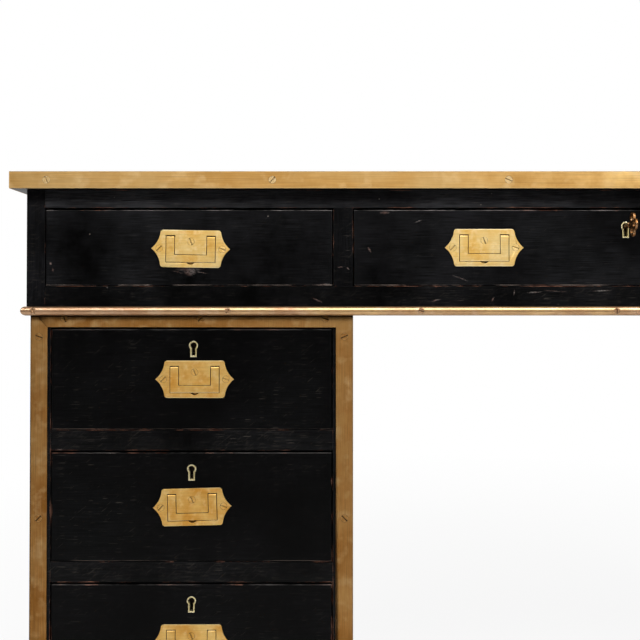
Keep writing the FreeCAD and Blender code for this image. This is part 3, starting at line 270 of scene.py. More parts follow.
def streaks(tree, coords, along, size, detail=3.0):
    """Noise drawn out along one axis, its streaks so many millimetres long and broad."""
    length, breadth = size
    scale = [marks_across(length if axis == along else breadth) for axis in "XYZ"]
    stretched = add(tree, "Mapping", {"Vector": coords, "Scale": scale})
    return add(tree, "TexNoise", {"Vector": stretched, "Scale": 1.0, "Detail": detail})


def scratches(tree, coords, turn, size, rarity):
    """Sparse fine lines that run one way across the front, as a mask."""
    turned = add(tree, "Mapping", {"Vector": coords, "Rotation": (0, math.radians(turn), 0)})
    lines = streaks(tree, turned, "X", size, detail=0.0)
    return add(tree, "MapRange", {"Value": lines, "From Min": rarity, "From Max": rarity + 0.04})


def specks(tree, coords, speckled):
    """Small round specks in some of the places where one could be, as a mask."""
    cells = add(tree, "TexVoronoi", {"Vector": coords, "Scale": marks_across(SPECK_SPACING)}).node
    few = add(tree, "Math", {0: cells.outputs["Color"], 1: 1 - speckled}, operation="GREATER_THAN")
    dot = add(tree, "MapRange", {"Value": cells.outputs["Distance"], "From Min": 0.08, "From Max": 0.03})
    return add(tree, "Math", {0: few, 1: dot}, operation="MULTIPLY")


def knocks(tree, coords):
    """The old knocks as one mask, each a ragged oval on the desk's front."""
    ragged = add(tree, "TexNoise", {
        "Vector": coords, "Scale": marks_across(RAGGED_SIZE), "Detail": 3.0}, out="Color")
    shaken = add(tree, "VectorMath", {0: ragged, 1: (-0.5, -0.5, -0.5)})
    shift = add(tree, "VectorMath", {0: shaken, "Scale": RAGGED_REACH * MM}, operation="SCALE")
    rough = add(tree, "VectorMath", {0: coords, 1: shift})
    total = 0.0
    for across, up, length, breadth, turn, pale in KNOCKS:
        oval = add(tree, "Mapping", {
            "Vector": rough, "Location": (across, KNOCKED_FACE, up), "Rotation": (0, math.radians(-turn), 0),
            "Scale": (length * MM, KNOCK_DEPTH * MM, breadth * MM)}, vector_type="TEXTURE")
        reach = add(tree, "VectorMath", {0: oval}, out="Value", operation="LENGTH")
        mark = add(tree, "MapRange", {
            "Value": reach, "From Min": 1.3, "From Max": 0.5, "To Max": 0.75 * pale})
        total = add(tree, "Math", {0: total, 1: mark}, operation="MAXIMUM")
    flakes = streaks(tree, rough, "X", FLAKE, detail=4.0)
    left = add(tree, "MapRange", {"Value": flakes, "From Min": 0.36, "From Max": 0.56})
    return add(tree, "Math", {0: total, 1: left}, operation="MULTIPLY")


def worn_through(tree, coords, edge):
    """Where patches of wear reach in from an edge so far that the lacquer is gone, as a mask."""
    patches = add(tree, "TexNoise", {
        "Vector": coords, "Scale": marks_across(WORN_PATCH), "Detail": 7.0, "Roughness": 0.72})
    chance = add(tree, "Math", {0: patches, 1: 0.49}, operation="SUBTRACT")
    reach = add(tree, "Math", {0: chance, 1: WORN_REACH * MM}, operation="MULTIPLY")
    return add(tree, "Math", {0: edge, 1: reach}, operation="LESS_THAN")


def rubbed_brinks(tree, coords, colour, rubbed):
    """A drawer front's colour: its lower brink rubbed pale, its upper brink a painted highlight, uneven and
    only at its face.
    """
    rubs = add(tree, "TexNoise", {
        "Vector": coords, "Scale": marks_across(RUB_SIZE), "Detail": 6.0, "Roughness": 0.7})
    depth = add(tree, "Attribute", out="Vector", attribute_name="from_low")
    depth = add(tree, "SeparateXYZ", {0: depth}, out="Y")
    full, gone = BRINK_DEPTH
    face = add(tree, "MapRange", {"Value": depth, "From Min": gone * MM, "From Max": full * MM})
    full, gone = BRINK_DROP
    # The lower brink is worn pale; the upper one is a painted highlight, the light caught on the top edge
    for side, tone, share in (("from_low", LOWER_BRINK, 1.0), ("to_high", UPPER_BRINK_HIGHLIGHT, 0.52)):
        drop = add(tree, "Attribute", out="Vector", attribute_name=side)
        drop = add(tree, "SeparateXYZ", {0: drop}, out="Z")
        brink = add(tree, "MapRange", {"Value": drop, "From Min": gone * MM, "From Max": full * MM})
        brink = add(tree, "Math", {0: brink, 1: face}, operation="MULTIPLY")
        pale = add(tree, "MapRange", {
            "Value": rubs, "From Min": 0.45, "From Max": 0.62, "To Max": rubbed * share})
        brink = add(tree, "Math", {0: brink, 1: pale}, operation="MULTIPLY")
        colour = add(tree, "Mix", {0: brink, 6: colour, 7: linear(tone)}, **COLOURS)
    return colour


def lacquer(name, along, edges="all", haze="#0e0e0f", rubbed=0.0, rarity=0.77, speckled=0.05):
    """Black lacquer brushed along a board's grain, rubbed dull, scratched, and worn through at its edges.

    Edges says which ones are worn: all, long or none. Haze is the colour of the dulled places, rubbed how
    pale a drawer front's brinks are, worn at the lower one and a painted highlight at the upper one, rarity
    how few scratches there are, and speckled the share of places with a speck. A brush leaves lines a third
    of a millimetre apart, and scratches are finer still. Both are drawn about half a millimetre broad, so
    that they show.
    """
    finish, tree = blank_finish(name)
    coords = add(tree, "TexCoord", out="Object")
    brushed = streaks(tree, coords, along, BRUSH_LINE, detail=4.0)
    cloud = add(tree, "TexNoise", {
        "Vector": coords, "Scale": marks_across(HAZE_SIZE), "Detail": 6.0, "Roughness": 0.66})
    hazed = add(tree, "MapRange", {"Value": cloud, "From Min": 0.36, "From Max": 0.7})
    streaked = add(tree, "MapRange", {"Value": brushed, "From Min": 0.34, "From Max": 0.68, "To Min": 0.1})
    veil = add(tree, "Math", {0: hazed, 1: streaked}, operation="MULTIPLY")
    colour = add(tree, "Mix", {0: veil, 6: chosen("lacquer"), 7: linear(haze)}, **COLOURS)
    level = scratches(tree, coords, 0, SCRATCH, rarity)
    slanted = scratches(tree, coords, SLANT, SLANTED_SCRATCH, rarity + SLANTED_RARER)
    lines = add(tree, "Math", {0: level, 1: slanted}, operation="MAXIMUM")
    lines = add(tree, "Math", {0: lines, 1: hazed}, operation="MULTIPLY")
    colour = add(tree, "Mix", {0: lines, 6: colour, 7: linear(SCRATCH_GREY)}, **COLOURS)
    dots = specks(tree, coords, speckled)
    colour = add(tree, "Mix", {0: dots, 6: colour, 7: linear(SPECK_GREY)}, **COLOURS)
    worn = knocks(tree, coords)
    tint = add(tree, "TexNoise", {"Vector": coords, "Scale": marks_across(SCUFF_TINT_SIZE), "Detail": 5.0})
    tinted = add(tree, "MapRange", {"Value": tint, "From Min": 0.42, "From Max": 0.6})
    scuff = add(tree, "Mix", {0: tinted, 6: linear(SCUFF_BROWN), 7: linear(SCUFF_GREY)}, **COLOURS)
    colour = add(tree, "Mix", {0: worn, 6: colour, 7: scuff}, **COLOURS)
    if edges != "none":
        bare = worn_through(tree, coords, nearest_edge(tree, along if edges == "long" else None))
        pale_wood = chosen("bare_wood")
        wood = add(tree, "Mix", {0: tinted, 6: toned(pale_wood, 1.7), 7: pale_wood}, **COLOURS)
        colour = add(tree, "Mix", {0: bare, 6: colour, 7: wood}, **COLOURS)
        worn = add(tree, "Math", {0: worn, 1: bare}, operation="MAXIMUM")
    # Brinks: the lower one worn pale, the upper one a painted highlight
    if rubbed:
        colour = rubbed_brinks(tree, coords, colour, rubbed)
    gloss = add(tree, "MapRange", {"Value": cloud, "To Min": 0.24, "To Max": 0.44})
    rough = add(tree, "Mix", {0: worn, 2: gloss, 3: 0.7})
    relief = add(tree, "Math", {0: brushed, 1: worn}, operation="SUBTRACT")
    bump = add(tree, "Bump", {"Height": relief, "Strength": 0.3, "Distance": 0.05 * MM})
    # The polish has been rubbed off, so the film mirrors little
    show(tree, {"Base Color": colour, "Roughness": rough, "Normal": bump, "Specular IOR Level": 0.05})
    return finish


# Brushed black lacquer on drawer fronts: soft level streaks, brown wood worn bare round the edges, and a
# faint painted highlight on the upper brink
@once
def black_lacquer_front(name):
    return lacquer(name, "X", rubbed=0.25)


# The same lacquer on the frieze's drawers, which hands have hazed more, their lower brinks rubbed pale and
# their upper brinks given a stronger painted highlight
@once
def black_lacquer_hazed_front(name):
    return lacquer(name, "X", haze="#232325", rubbed=0.85)


# The same lacquer on rails and level boards, worn along their length only
@once
def black_lacquer_level(name):
    return lacquer(name, "X", edges="long", haze="#181819", rarity=0.71, speckled=0.14)


# The same lacquer on the rail under the top, its haze painted pale to lift the shade that the top casts on it
@once
def black_lacquer_top_rail(name):
    return lacquer(name, "X", edges="long", haze="#3c3c3f", rarity=0.69, speckled=0.2)


# The same lacquer on upright boards
@once
def black_lacquer_upright(name):
    return lacquer(name, "Z", edges="long", haze="#19191b", rarity=0.72, speckled=0.12)


# The same lacquer on turned work, which has no board's edges
@once
def black_lacquer_turned(name):
    return lacquer(name, "Z", edges="none")


def old_metal(name, along, plain, deep, pale, rough, blotch, hollow=1.6, bloomed=0.7, grime_and_shade_shares=(0.5, 0.87),
              middle=None, spread=(300, 600), under=None, wax=0.0, lines=(0.9, 1.06), relief=0.03):
    """Worked metal: tarnished in blotches, rubbed along it, bright at its edges from rubbing and a painted
    highlight, soiled and painted with shade in its hollows.

    Deep and pale are the powers of the tarnish and of the rubbed places, blotch is the tarnish's size, and
    bloomed is how far rubbed places show in clouds of their own. Hollow is how far soil and painted shade
    reach, and the pair after bloomed gives the open shares with the most of them and with none. Middle is
    another tone for the desk's middle, which gives way to the plain one between the two distances of spread;
    on the angle round the top it paints a highlight. A painted shadow lies just below the height under. Lines
    are the darkest and the palest of the rubbed lines, and relief is their depth. Sizes are in millimetres,
    apart from that height. Rubbing leaves hairlines, which are drawn 0.7 mm broad, so that they show.
    """
    bright = toned(plain, pale)
    finish, tree = blank_finish(name)
    coords = add(tree, "TexCoord", out="Object")
    rubbed = streaks(tree, coords, along, RUBBED_LINE)
    cloud = add(tree, "TexNoise", {
        "Vector": coords, "Scale": marks_across(blotch), "Detail": 6.0, "Roughness": 0.6})
    bloom = add(tree, "TexNoise", {"Vector": coords, "Scale": marks_across(blotch / 4.3), "Detail": 5.0})
    tarnish = add(tree, "MapRange", {"Value": cloud, "From Min": 0.34, "From Max": 0.66})
    lifted = add(tree, "MapRange", {"Value": bloom, "From Min": 0.52, "From Max": 0.76, "To Max": bloomed})
    clean = plain
    if middle:
        across = add(tree, "SeparateXYZ", {0: coords}, out="X")
        across = add(tree, "Math", {0: across}, operation="ABSOLUTE")
        near, far = spread
        outer = add(tree, "MapRange", {"Value": across, "From Min": near * MM, "From Max": far * MM})
        clean = add(tree, "Mix", {0: outer, 6: middle, 7: plain}, **COLOURS)
    colour = add(tree, "Mix", {0: tarnish, 6: toned(plain, deep), 7: clean}, **COLOURS)
    colour = add(tree, "Mix", {0: lifted, 6: colour, 7: bright}, **COLOURS)
    darkest, palest = lines
    grain = add(tree, "MapRange", {
        "Value": rubbed, "From Min": 0.3, "From Max": 0.7, "To Min": darkest, "To Max": palest})
    colour = add(tree, "VectorMath", {0: colour, "Scale": grain}, operation="SCALE")
    # Edges rubbed pale, which also paints a highlight along them
    full, gone = BRIGHT_EDGE
    handled_and_highlit = add(tree, "MapRange", {
        "Value": nearest_edge(tree), "From Min": gone * MM, "From Max": full * MM, "To Max": 0.8})
    colour = add(tree, "Mix", {0: handled_and_highlit, 6: colour, 7: bright}, **COLOURS)
    # Grime in the hollows, which also paints their shade: the more hemmed in a point is, the darker it is
    open_air = add(tree, "AmbientOcclusion", {"Distance": hollow * MM}, out="AO", samples=6)
    most, none = grime_and_shade_shares
    dirt_and_shade = add(tree, "MapRange", {"Value": open_air, "From Min": none, "From Max": most, "To Max": 0.94})
    # A painted shadow just below the bead's foot
    if under:
        height = add(tree, "SeparateXYZ", {0: coords}, out="Z")
        full, gone = SHADOW_BELOW_BEAD
        bead_shadow = add(tree, "MapRange", {
            "Value": height, "From Min": under - gone * MM, "From Max": under - full * MM, "To Max": 0.97})
        dirt_and_shade = add(tree, "Math", {0: dirt_and_shade, 1: bead_shadow}, operation="MAXIMUM")
    colour = add(tree, "Mix", {0: dirt_and_shade, 6: colour, 7: linear(HOLLOW_DIRT_AND_SHADE)}, **COLOURS)
    dull = add(tree, "MapRange", {
        "Value": cloud, "From Min": 0.3, "From Max": 0.7, "To Min": rough + 0.07, "To Max": rough - 0.05})
    bump = add(tree, "Bump", {"Height": rubbed, "Strength": 0.3, "Distance": relief * MM})
    show(tree, {"Base Color": colour, "Metallic": 1.0, "Roughness": dull, "Normal": bump, "Coat Weight": wax,
                "Coat Roughness": 0.3})
    return finish


def edging_metal(name, along, **more):
    """Rolled brass of the angle round the top."""
    return old_metal(name, along, chosen("edging"), deep=1.36, pale=0.78, rough=0.56, blotch=70,
                     lines=(0.84, 1.1), **more)


def handle_metal(name, plain, deep, pale):
    """Cast brass, filed flat and polished."""
    return old_metal(name, "X", plain, deep, pale, rough=0.54, blotch=27, hollow=2.2, bloomed=0.4)


# Rolled brass angle round the top: pale and rubbed, its tarnish in soft clouds, with a painted highlight
# that brightens it towards the middle
@once
def edging_brass(name):
    return edging_metal(name, "X", middle=chosen("edging_middle"), spread=(20, 210))


# The same angle at the two ends, rubbed front to back
@once
def end_edging_brass(name):
    return edging_metal(name, "Y")


# Drawn and waxed half-round brass: redder to its ends, yellower in the middle
@once
def bead_brass(name):
    return old_metal(name, "X", chosen("bead"), deep=1.29, pale=0.69, rough=0.44, blotch=55,
                     middle=chosen("bead_middle"), wax=1.0, relief=0.01)


# Brass strips on the pedestals: browner, with grime and a painted shadow under the bead
@once
def strip_brass(name):
    bead_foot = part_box("waist_beading")[0].z
    # The wide hollow and the bead's foot paint the bead's shadow on the strips
    return old_metal(name, "Z", chosen("strips"), deep=1.45, pale=0.72, rough=0.54, blotch=62, hollow=7.0,
                     grime_and_shade_shares=(0.74, 0.995), under=bead_foot, lines=(0.74, 1.16))


# Cast handle brass: yellow, filed flat and polished
@once
def polished_handle_brass(name):
    return handle_metal(name, chosen("handles"), deep=1.72, pale=0.52)


# The same brass on one bail, which hands have tarnished deeper than its plate
@once
def deep_handle_brass(name):
    return handle_metal(name, toned(chosen("handles"), 1.14), deep=1.75, pale=0.55)


# The same brass on the pedestals, browner
@once
def brown_handle_brass(name):
    return handle_metal(name, chosen("brown_handles"), deep=1.8, pale=0.57)


# Keyhole rims of paler brass, filed thin and rubbed by keys
@once
def escutcheon_brass(name):
    return handle_metal(name, chosen("escutcheons"), deep=1.5, pale=0.6)


# Wax and dirt that polishing has left in the handles' joints and slots, with painted shade in those gaps:
# a dull brown line
@once
def grimed_brass(name):
    return old_metal(name, "X", linear(JOINT_DIRT_AND_SHADE), deep=1.3, pale=0.8, rough=0.6, blotch=8)


# Brass screws, filed off flush: paler than the angle that they hold
@once
def screw_brass(name):
    return old_metal(name, "X", toned(chosen("edging"), 0.74), deep=1.3, pale=0.75, rough=0.54, blotch=8,
                     bloomed=0.3)


# Screws in the bead, as red as the bead
@once
def bead_screw_brass(name):
    return old_metal(name, "X", toned(chosen("bead"), 0.9), deep=1.35, pale=0.66, rough=0.5, blotch=8,
                     bloomed=0.3)


# Screws in the pedestals' strips, as brown as the strips, with the same painted shade under the bead
@once
def brown_screw_brass(name):
    return old_metal(name, "X", chosen("strips"), deep=1.5, pale=0.76, rough=0.54, blotch=8, hollow=7.0,
                     bloomed=0.3, grime_and_shade_shares=(0.74, 0.995))


# Cast key brass, brown with age, with pale painted highlights at its edges and grime and painted shade in its
# hollows
@once
def cast_key_brass(name):
    return old_metal(name, "Y", chosen("key"), deep=1.38, pale=0.3, rough=0.42, blotch=4, hollow=1.6)


# Filed steel of the locks: grey, browned, with painted shade inside the keyhole
@once
def filed_lock_steel(name):
    return old_metal(name, "X", chosen("lock_steel"), deep=1.42, pale=0.63, rough=0.42, blotch=11,
                     hollow=14.0)


def plain_wood(name, along, pale, deep, rough):
    """Unpolished wood: long grain lines, and small dark pores drawn half a millimetre broad to show."""
    finish, tree = blank_finish(name)
    coords = add(tree, "TexCoord", out="Object")
    grain = streaks(tree, coords, along, GRAIN, detail=5.0)
    pores = streaks(tree, coords, along, PORE, detail=2.0)
    rings = add(tree, "MapRange", {"Value": grain, "From Min": 0.32, "From Max": 0.68})
    colour = add(tree, "Mix", {0: rings, 6: toned(pale, deep), 7: pale}, **COLOURS)
    sunk = add(tree, "MapRange", {"Value": pores, "From Min": 0.62, "From Max": 0.7, "To Max": 0.55})
    colour = add(tree, "Mix", {0: sunk, 6: colour, 7: linear(PORE_BROWN)}, **COLOURS)
    sheen = add(tree, "MapRange", {"Value": grain, "To Min": rough - 0.08, "To Max": rough + 0.08})
    bump = add(tree, "Bump", {"Height": pores, "Strength": 0.3, "Distance": -0.15 * MM})
    show(tree, {"Base Color": colour, "Roughness": sheen, "Normal": bump})
    return finish


# Mahogany of the carcass, unpolished inside: red-brown, close pores
@once
def carcass_mahogany(name):
    return plain_wood(name, "X", chosen("mahogany"), deep=1.42, rough=0.66)


# Waxed cedar drawer linings: paler, straight in the grain
@once
def cedar_lining(name):
    return plain_wood(name, "Y", chosen("cedar"), deep=1.5, rough=0.56)


# Black hide on the writing surface: pebbled grain, drawn a little coarse so that it shows, and dull gilt
# lines tooled round it
@once
def writing_hide(name):
    finish, tree = blank_finish(name)
    coords = add(tree, "TexCoord", out="Object")
    pebbles = add(tree, "TexVoronoi", {"Vector": coords, "Scale": marks_across(PEBBLE_SIZE)}, out="Distance")
    wear = add(tree, "TexNoise", {
        "Vector": coords, "Scale": marks_across(HAZE_SIZE), "Detail": 6.0, "Roughness": 0.65})
    rubbed = add(tree, "MapRange", {"Value": wear, "From Min": 0.45, "From Max": 0.75})
    hide = chosen("hide")
    colour = add(tree, "Mix", {0: rubbed, 6: hide, 7: toned(hide, 0.75)}, **COLOURS)
    edge = nearest_edge(tree)
    tooled = 0.0
    for place, breadth in TOOLED_LINES:
        off = add(tree, "Math", {0: edge, 1: place * MM}, operation="SUBTRACT")
        off = add(tree, "Math", {0: off}, operation="ABSOLUTE")
        line = add(tree, "MapRange", {"Value": off, "From Min": breadth * MM, "From Max": 0.0})
        tooled = add(tree, "Math", {0: tooled, 1: line}, operation="MAXIMUM")
    colour = add(tree, "Mix", {0: tooled, 6: colour, 7: linear(DULL_GILT)}, **COLOURS)
    pressed = add(tree, "Math", {0: pebbles, 1: tooled}, operation="SUBTRACT")
    bump = add(tree, "Bump", {"Height": pressed, "Strength": 0.5, "Distance": 0.25 * MM})
    sheen = add(tree, "MapRange", {"Value": wear, "To Min": 0.4, "To Max": 0.58})
    show(tree, {"Base Color": colour, "Roughness": sheen, "Normal": bump, "Specular IOR Level": 0.4})
    return finish


def seen_white(tree, behind):
    """One for rays that see the white background: the eye's, and those mirrored or let through to it."""
    path = add(tree, "LightPath").node.outputs
    mirrored = add(tree, "Math", {
        0: path["Is Glossy Ray"], 1: path["Is Transmission Ray"]}, operation="MAXIMUM")
    mirrored = add(tree, "Math", {0: mirrored, 1: behind}, operation="MULTIPLY")
    return add(tree, "Math", {0: path["Is Camera Ray"], 1: mirrored}, operation="MAXIMUM")


# Pale painted studio floor, faintly mottled, that fades into the white room
@once
def studio_floor(name):
    finish, tree = blank_finish(name)
    coords = add(tree, "TexCoord", out="Object")
    mottle = add(tree, "TexNoise", {"Vector": coords, "Scale": marks_across(MOTTLE_SIZE), "Detail": 4.0})
    colour = add(tree, "Mix", {0: mottle, 6: linear(FLOOR_GREY), 7: linear(FLOOR_PALE)}, **COLOURS)
    paint = add(tree, "BsdfPrincipled", {"Base Color": colour, "Roughness": 0.85})
    depth = add(tree, "SeparateXYZ", {0: coords}, out="Y")
    behind = add(tree, "MapRange", {"Value": depth, "From Min": 0.0, "From Max": 1.0})
    white = add(tree, "Emission", {"Color": WHITE, "Strength": 1.0})
    away = add(tree, "VectorMath", {0: coords}, out="Value", operation="LENGTH")
    fade = add(tree, "MapRange", {"Value": away, "From Min": 0.5, "From Max": 2.2, "To Min": 0.91})
    share = add(tree, "Math", {0: seen_white(tree, behind), 1: fade}, operation="MULTIPLY")
    surface = add(tree, "MixShader", {0: share, 1: paint, 2: white})
    add(tree, "OutputMaterial", {"Surface": surface})
    return finish


def white_room(room_light):
    """A world that the eye sees white, and that lights the desk only a little."""
    world = bpy.data.worlds.new("white_room")
    world.use_nodes = True
    tree = world.node_tree
    tree.nodes.clear()
    way = add(tree, "TexCoord", out="Generated")
    depth = add(tree, "SeparateXYZ", {0: way}, out="Y")
    behind = add(tree, "MapRange", {"Value": depth, "From Min": 0.0, "From Max": 0.3})
    level = add(tree, "Mix", {0: seen_white(tree, behind), 2: room_light, 3: 1.0})
    room = add(tree, "Background", {"Color": WHITE, "Strength": level})
    add(tree, "OutputWorld", {"Surface": room})
    return world


def pick(*things):
    """Select only these objects, the first one active."""
    bpy.ops.object.select_all(action="DESELECT")
    for thing in things:
        thing.select_set(True)
    bpy.context.view_layer.objects.active = things[0]


def welded_copy(node):
    """A copy of a CAD node with its triangles merged into whole faces again."""
    pick(NODES[node])
    bpy.ops.object.duplicate()
    piece = bpy.context.active_object
    bpy.ops.object.parent_clear(type="CLEAR_KEEP_TRANSFORM")
    for mark in list(piece.keys()):
        del piece[mark]
    piece.name = f"{node}_dressed"
    piece.data.materials.clear()
    bpy.ops.mesh.customdata_custom_splitnormals_clear()
    bpy.ops.object.mode_set(mode="EDIT")
    bpy.ops.mesh.select_all(action="SELECT")
    bpy.ops.mesh.remove_doubles(threshold=WELD)
    bpy.ops.mesh.dissolve_limited(angle_limit=FLAT)
    bpy.ops.object.mode_set(mode="OBJECT")
    return piece


def ease_edges(piece, width, rounds):
    """Take the sharp edges off a piece, as a plane or a file does."""
    pick(piece)
    bevel = piece.modifiers.new("eased_edges", "BEVEL")
    bevel.width = width
    bevel.segments = rounds
    bevel.limit_method = "ANGLE"
    bevel.angle_limit = SHARP
    bevel.use_clamp_overlap = False
    bpy.ops.object.modifier_apply(modifier=bevel.name)


def smooth(piece):
    """Shade a piece smooth, its broad faces flat up to their eased edges."""
    pick(piece)
    bpy.ops.object.shade_smooth_by_angle(angle=SHARP)
    flat = piece.modifiers.new("flat_faces", "WEIGHTED_NORMAL")
    flat.keep_sharp = True
    flat.weight = BROAD_FACE_WEIGHT
    bpy.ops.object.modifier_apply(modifier=flat.name)


def keep_distances(piece):
    """Keep on each point how far it is from the six sides of its own board or strip."""
    pick(piece)
    bpy.ops.object.mode_set(mode="EDIT")
    bpy.ops.mesh.select_all(action="SELECT")
    bpy.ops.mesh.separate(type="LOOSE")
    bpy.ops.object.mode_set(mode="OBJECT")
    boards = list(bpy.context.selected_objects)
    for board in boards:
        points = np.array([point.co for point in board.data.vertices])
        for name, away in (("from_low", points - points.min(0)), ("to_high", points.max(0) - points)):
            kept = board.data.attributes.new(name, "FLOAT_VECTOR", "POINT")
            kept.data.foreach_set("vector", away.ravel())
    pick(piece, *[board for board in boards if board is not piece])
    if len(boards) > 1:
        bpy.ops.object.join()


def dress(node, finish, ease, rounds=2):
    """Put a welded, eased and finished copy in a CAD node's place."""
    piece = welded_copy(node)
    keep_distances(piece)
    if ease:
        ease_edges(piece, ease, rounds)
    smooth(piece)
    piece.data.materials.append(finish)
    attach(piece, NODES[node]["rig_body"])
    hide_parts(node)
    return piece


def finish_node(node, finish):
    """Give a CAD node that stays in view its finish."""
    mesh = NODES[node].data
    mesh.materials.clear()
    mesh.materials.append(finish)


def second_finish(piece, finish, test):
    """Give another finish to the faces whose middle and normal pass a test."""
    piece.data.materials.append(finish)
    for face in piece.data.polygons:
        if test(face.center, face.normal):
            face.material_index = len(piece.data.materials) - 1


def bail_middle(name):
    """The middle of a handle's bail, across and up."""
    low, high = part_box(f"{name}_bail")
    return (low.x + high.x) / 2, (low.z + high.z) / 2


def screw_places(name):
    """The places of the three screws in a handle's plate, across and up."""
    across, up = bail_middle(name)
    reach = PLATE_WIDTH * SCREW_SHARE
    rise = PLATE_HEIGHT * UPPER_SCREW_SHARE
    return (across - reach, up), (across + reach, up), (across, up + rise)


def grime(piece, bail, places=()):
    """Give a handle's joints and slots their soil and painted shade: sides within a bail's reach or in a
    screw's head.
    """
    low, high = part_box(bail)

    def dirty(middle, normal):
        beside_bail = low.x - JOINT < middle.x < high.x + JOINT
        near_bail = beside_bail and low.z - JOINT < middle.z < high.z + JOINT
        nearest = min([math.hypot(middle.x - x, middle.z - z) for x, z in places], default=HEAD_REACH)
        return normal.y > TURNED_AWAY and (nearest < SLOT_REACH or (near_bail and nearest >= HEAD_REACH))

    second_finish(piece, grimed_brass(), dirty)


def lay_floor(size):
    """A flat studio floor under the desk."""
    bpy.ops.object.select_all(action="DESELECT")
    bpy.ops.mesh.primitive_plane_add(size=size, location=(0, 0, 0))
    floor = bpy.context.active_object
    floor.name = "studio_floor"
    floor.data.materials.append(studio_floor())


def hang_light(name, power):
    """A soft rectangular light that faces a point."""
    size, place, aim = LIGHTS[name]
    bpy.ops.object.light_add(type="AREA", location=place)
    lamp = bpy.context.active_object
    lamp.name = f"{name}_light"
    lamp.data.shape = "RECTANGLE"
    lamp.data.energy = power
    lamp.data.size, lamp.data.size_y = size
    direction = Vector(aim) - Vector(place)
    lamp.rotation_euler = direction.to_track_quat("-Z", "Y").to_euler()


def colour_choice(name, code):
    """A colour that a user may change, from an sRGB hex value."""
    return bpy.props.FloatVectorProperty(
        name=name, description=f"Colour of the {name.lower()}", default=linear(code)[:3], min=0.0, max=1.0,
        subtype="COLOR")


def ease_choice(name, pieces, size):
    """A width of eased edges that a user may change, from a size in millimetres."""
    return bpy.props.FloatProperty(
        name=name, description=f"How far the edges of the {pieces} are eased", default=size * MM, min=0.0,
        unit="LENGTH", precision=5)


def power_choice(name, light, watts):
    """A light's power that a user may change."""
    return bpy.props.FloatProperty(
        name=name, description=f"Power of the {light}", default=watts, min=0.0, unit="POWER")


class DeskLooks(bpy.types.PropertyGroup):
    """Colours and sizes that someone dressing the desk may change."""
    lacquer: colour_choice("Black lacquer", "#020202")
    bare_wood: colour_choice("Wood worn bare", "#6d4c3e")
    edging: colour_choice("Brass round the top", "#bf9d66")
    # A brighter tone that paints a highlight on the top's brass towards the middle
    edging_middle: colour_choice("Brass at the top's middle", "#e4c07e")
    bead: colour_choice("Bead's ends", "#b28c68")
    bead_middle: colour_choice("Bead's middle", "#c7a26b")
    strips: colour_choice("Brass on the pedestals", "#a8804c")
    handles: colour_choice("Frieze handles", "#e2c687")
    brown_handles: colour_choice("Pedestal handles", "#dcb76f")
    escutcheons: colour_choice("Keyhole rims", "#cdc198")
    key: colour_choice("Key", "#8a6239")
    lock_steel: colour_choice("Lock steel", "#7c7874")
    hide: colour_choice("Writing leather", "#14110f")
    mahogany: colour_choice("Mahogany inside", "#7a4c2c")
    cedar: colour_choice("Cedar linings", "#a2713f")
    wood_ease: ease_choice("Wood edges", "boards", 0.35)
    strip_ease: ease_choice("Strip edges", "brass strips", 0.3)
    screw_ease: ease_choice("Screw edges", "screws in the strips", 0.22)
    handle_ease: ease_choice("Handle edges", "handles", 0.42)
    key_ease: ease_choice("Key edges", "key", 0.9)


class DeskStage(bpy.types.PropertyGroup):
    """The camera, the lights and the floor."""
    camera_place: bpy.props.FloatVectorProperty(
        name="Camera", description="Where the camera stands", default=(-0.3424, -1.2996, 0.612),
        subtype="TRANSLATION", unit="LENGTH")
    camera_pitch: bpy.props.FloatProperty(
        name="Pitch", description="How far the camera looks up", default=math.radians(0.742), unit="ROTATION")
    camera_fall: bpy.props.FloatProperty(
        name="Fall", description="How far the lens is shifted down, of the frame's width", default=0.0539)
    lens: bpy.props.FloatProperty(
        name="Lens", description="Focal length on a 36 mm sensor", default=50.0, unit="CAMERA")
    top_power: power_choice("Top light", "long light above the front", 83.0)
    side_power: power_choice("Side light", "square light on the right", 12.0)
    back_power: power_choice("Back light", "square light behind on the left", 30.0)
    room_light: bpy.props.FloatProperty(
        name="Room", description="Light of the room on the desk", default=0.06, min=0.0)
    floor_size: bpy.props.FloatProperty(
        name="Floor", description="Width of the floor", default=14.0, min=0.0, unit="LENGTH")


class DESK_OT_top(bpy.types.Operator):
    """Top board, brass angle round it and writing leather"""
    bl_idname = "desk.top"
    bl_label = "Top"

    def execute(self, context):
        looks = context.scene.desk_looks
        dress("top_board", black_lacquer_level(), looks.wood_ease)
        dress("writing_leather", writing_hide(), looks.wood_ease)
        strips = dress("top_edge_strips", edging_brass(), looks.strip_ease)
        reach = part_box("top_edge_strips")[1].x - END_LENGTH
        second_finish(strips, end_edging_brass(), lambda middle, normal: abs(middle.x) > reach)
        return {"FINISHED"}


class DESK_OT_frieze(bpy.types.Operator):
    """Ends, partitions, rails and inside of the frieze"""
    bl_idname = "desk.frieze"
    bl_label = "Frieze"

    def execute(self, context):
        looks = context.scene.desk_looks
        for node in ("frieze_ends", "frieze_partitions"):
            dress(node, black_lacquer_upright(), looks.wood_ease)
        dress("frieze_top_rail", black_lacquer_top_rail(), looks.wood_ease)
        for node in ("frieze_bottom_rail", "frieze_back"):
            dress(node, black_lacquer_level(), looks.wood_ease)
        for node in ("frieze_dust_board", "drawer_runners"):
            finish_node(node, carcass_mahogany())
        return {"FINISHED"}


class DESK_OT_beading(bpy.types.Operator):
    """Half-round brass bead at the waist"""
    bl_idname = "desk.beading"
    bl_label = "Beading"

    def execute(self, context):
        dress("waist_beading", bead_brass(), context.scene.desk_looks.strip_ease)
        return {"FINISHED"}


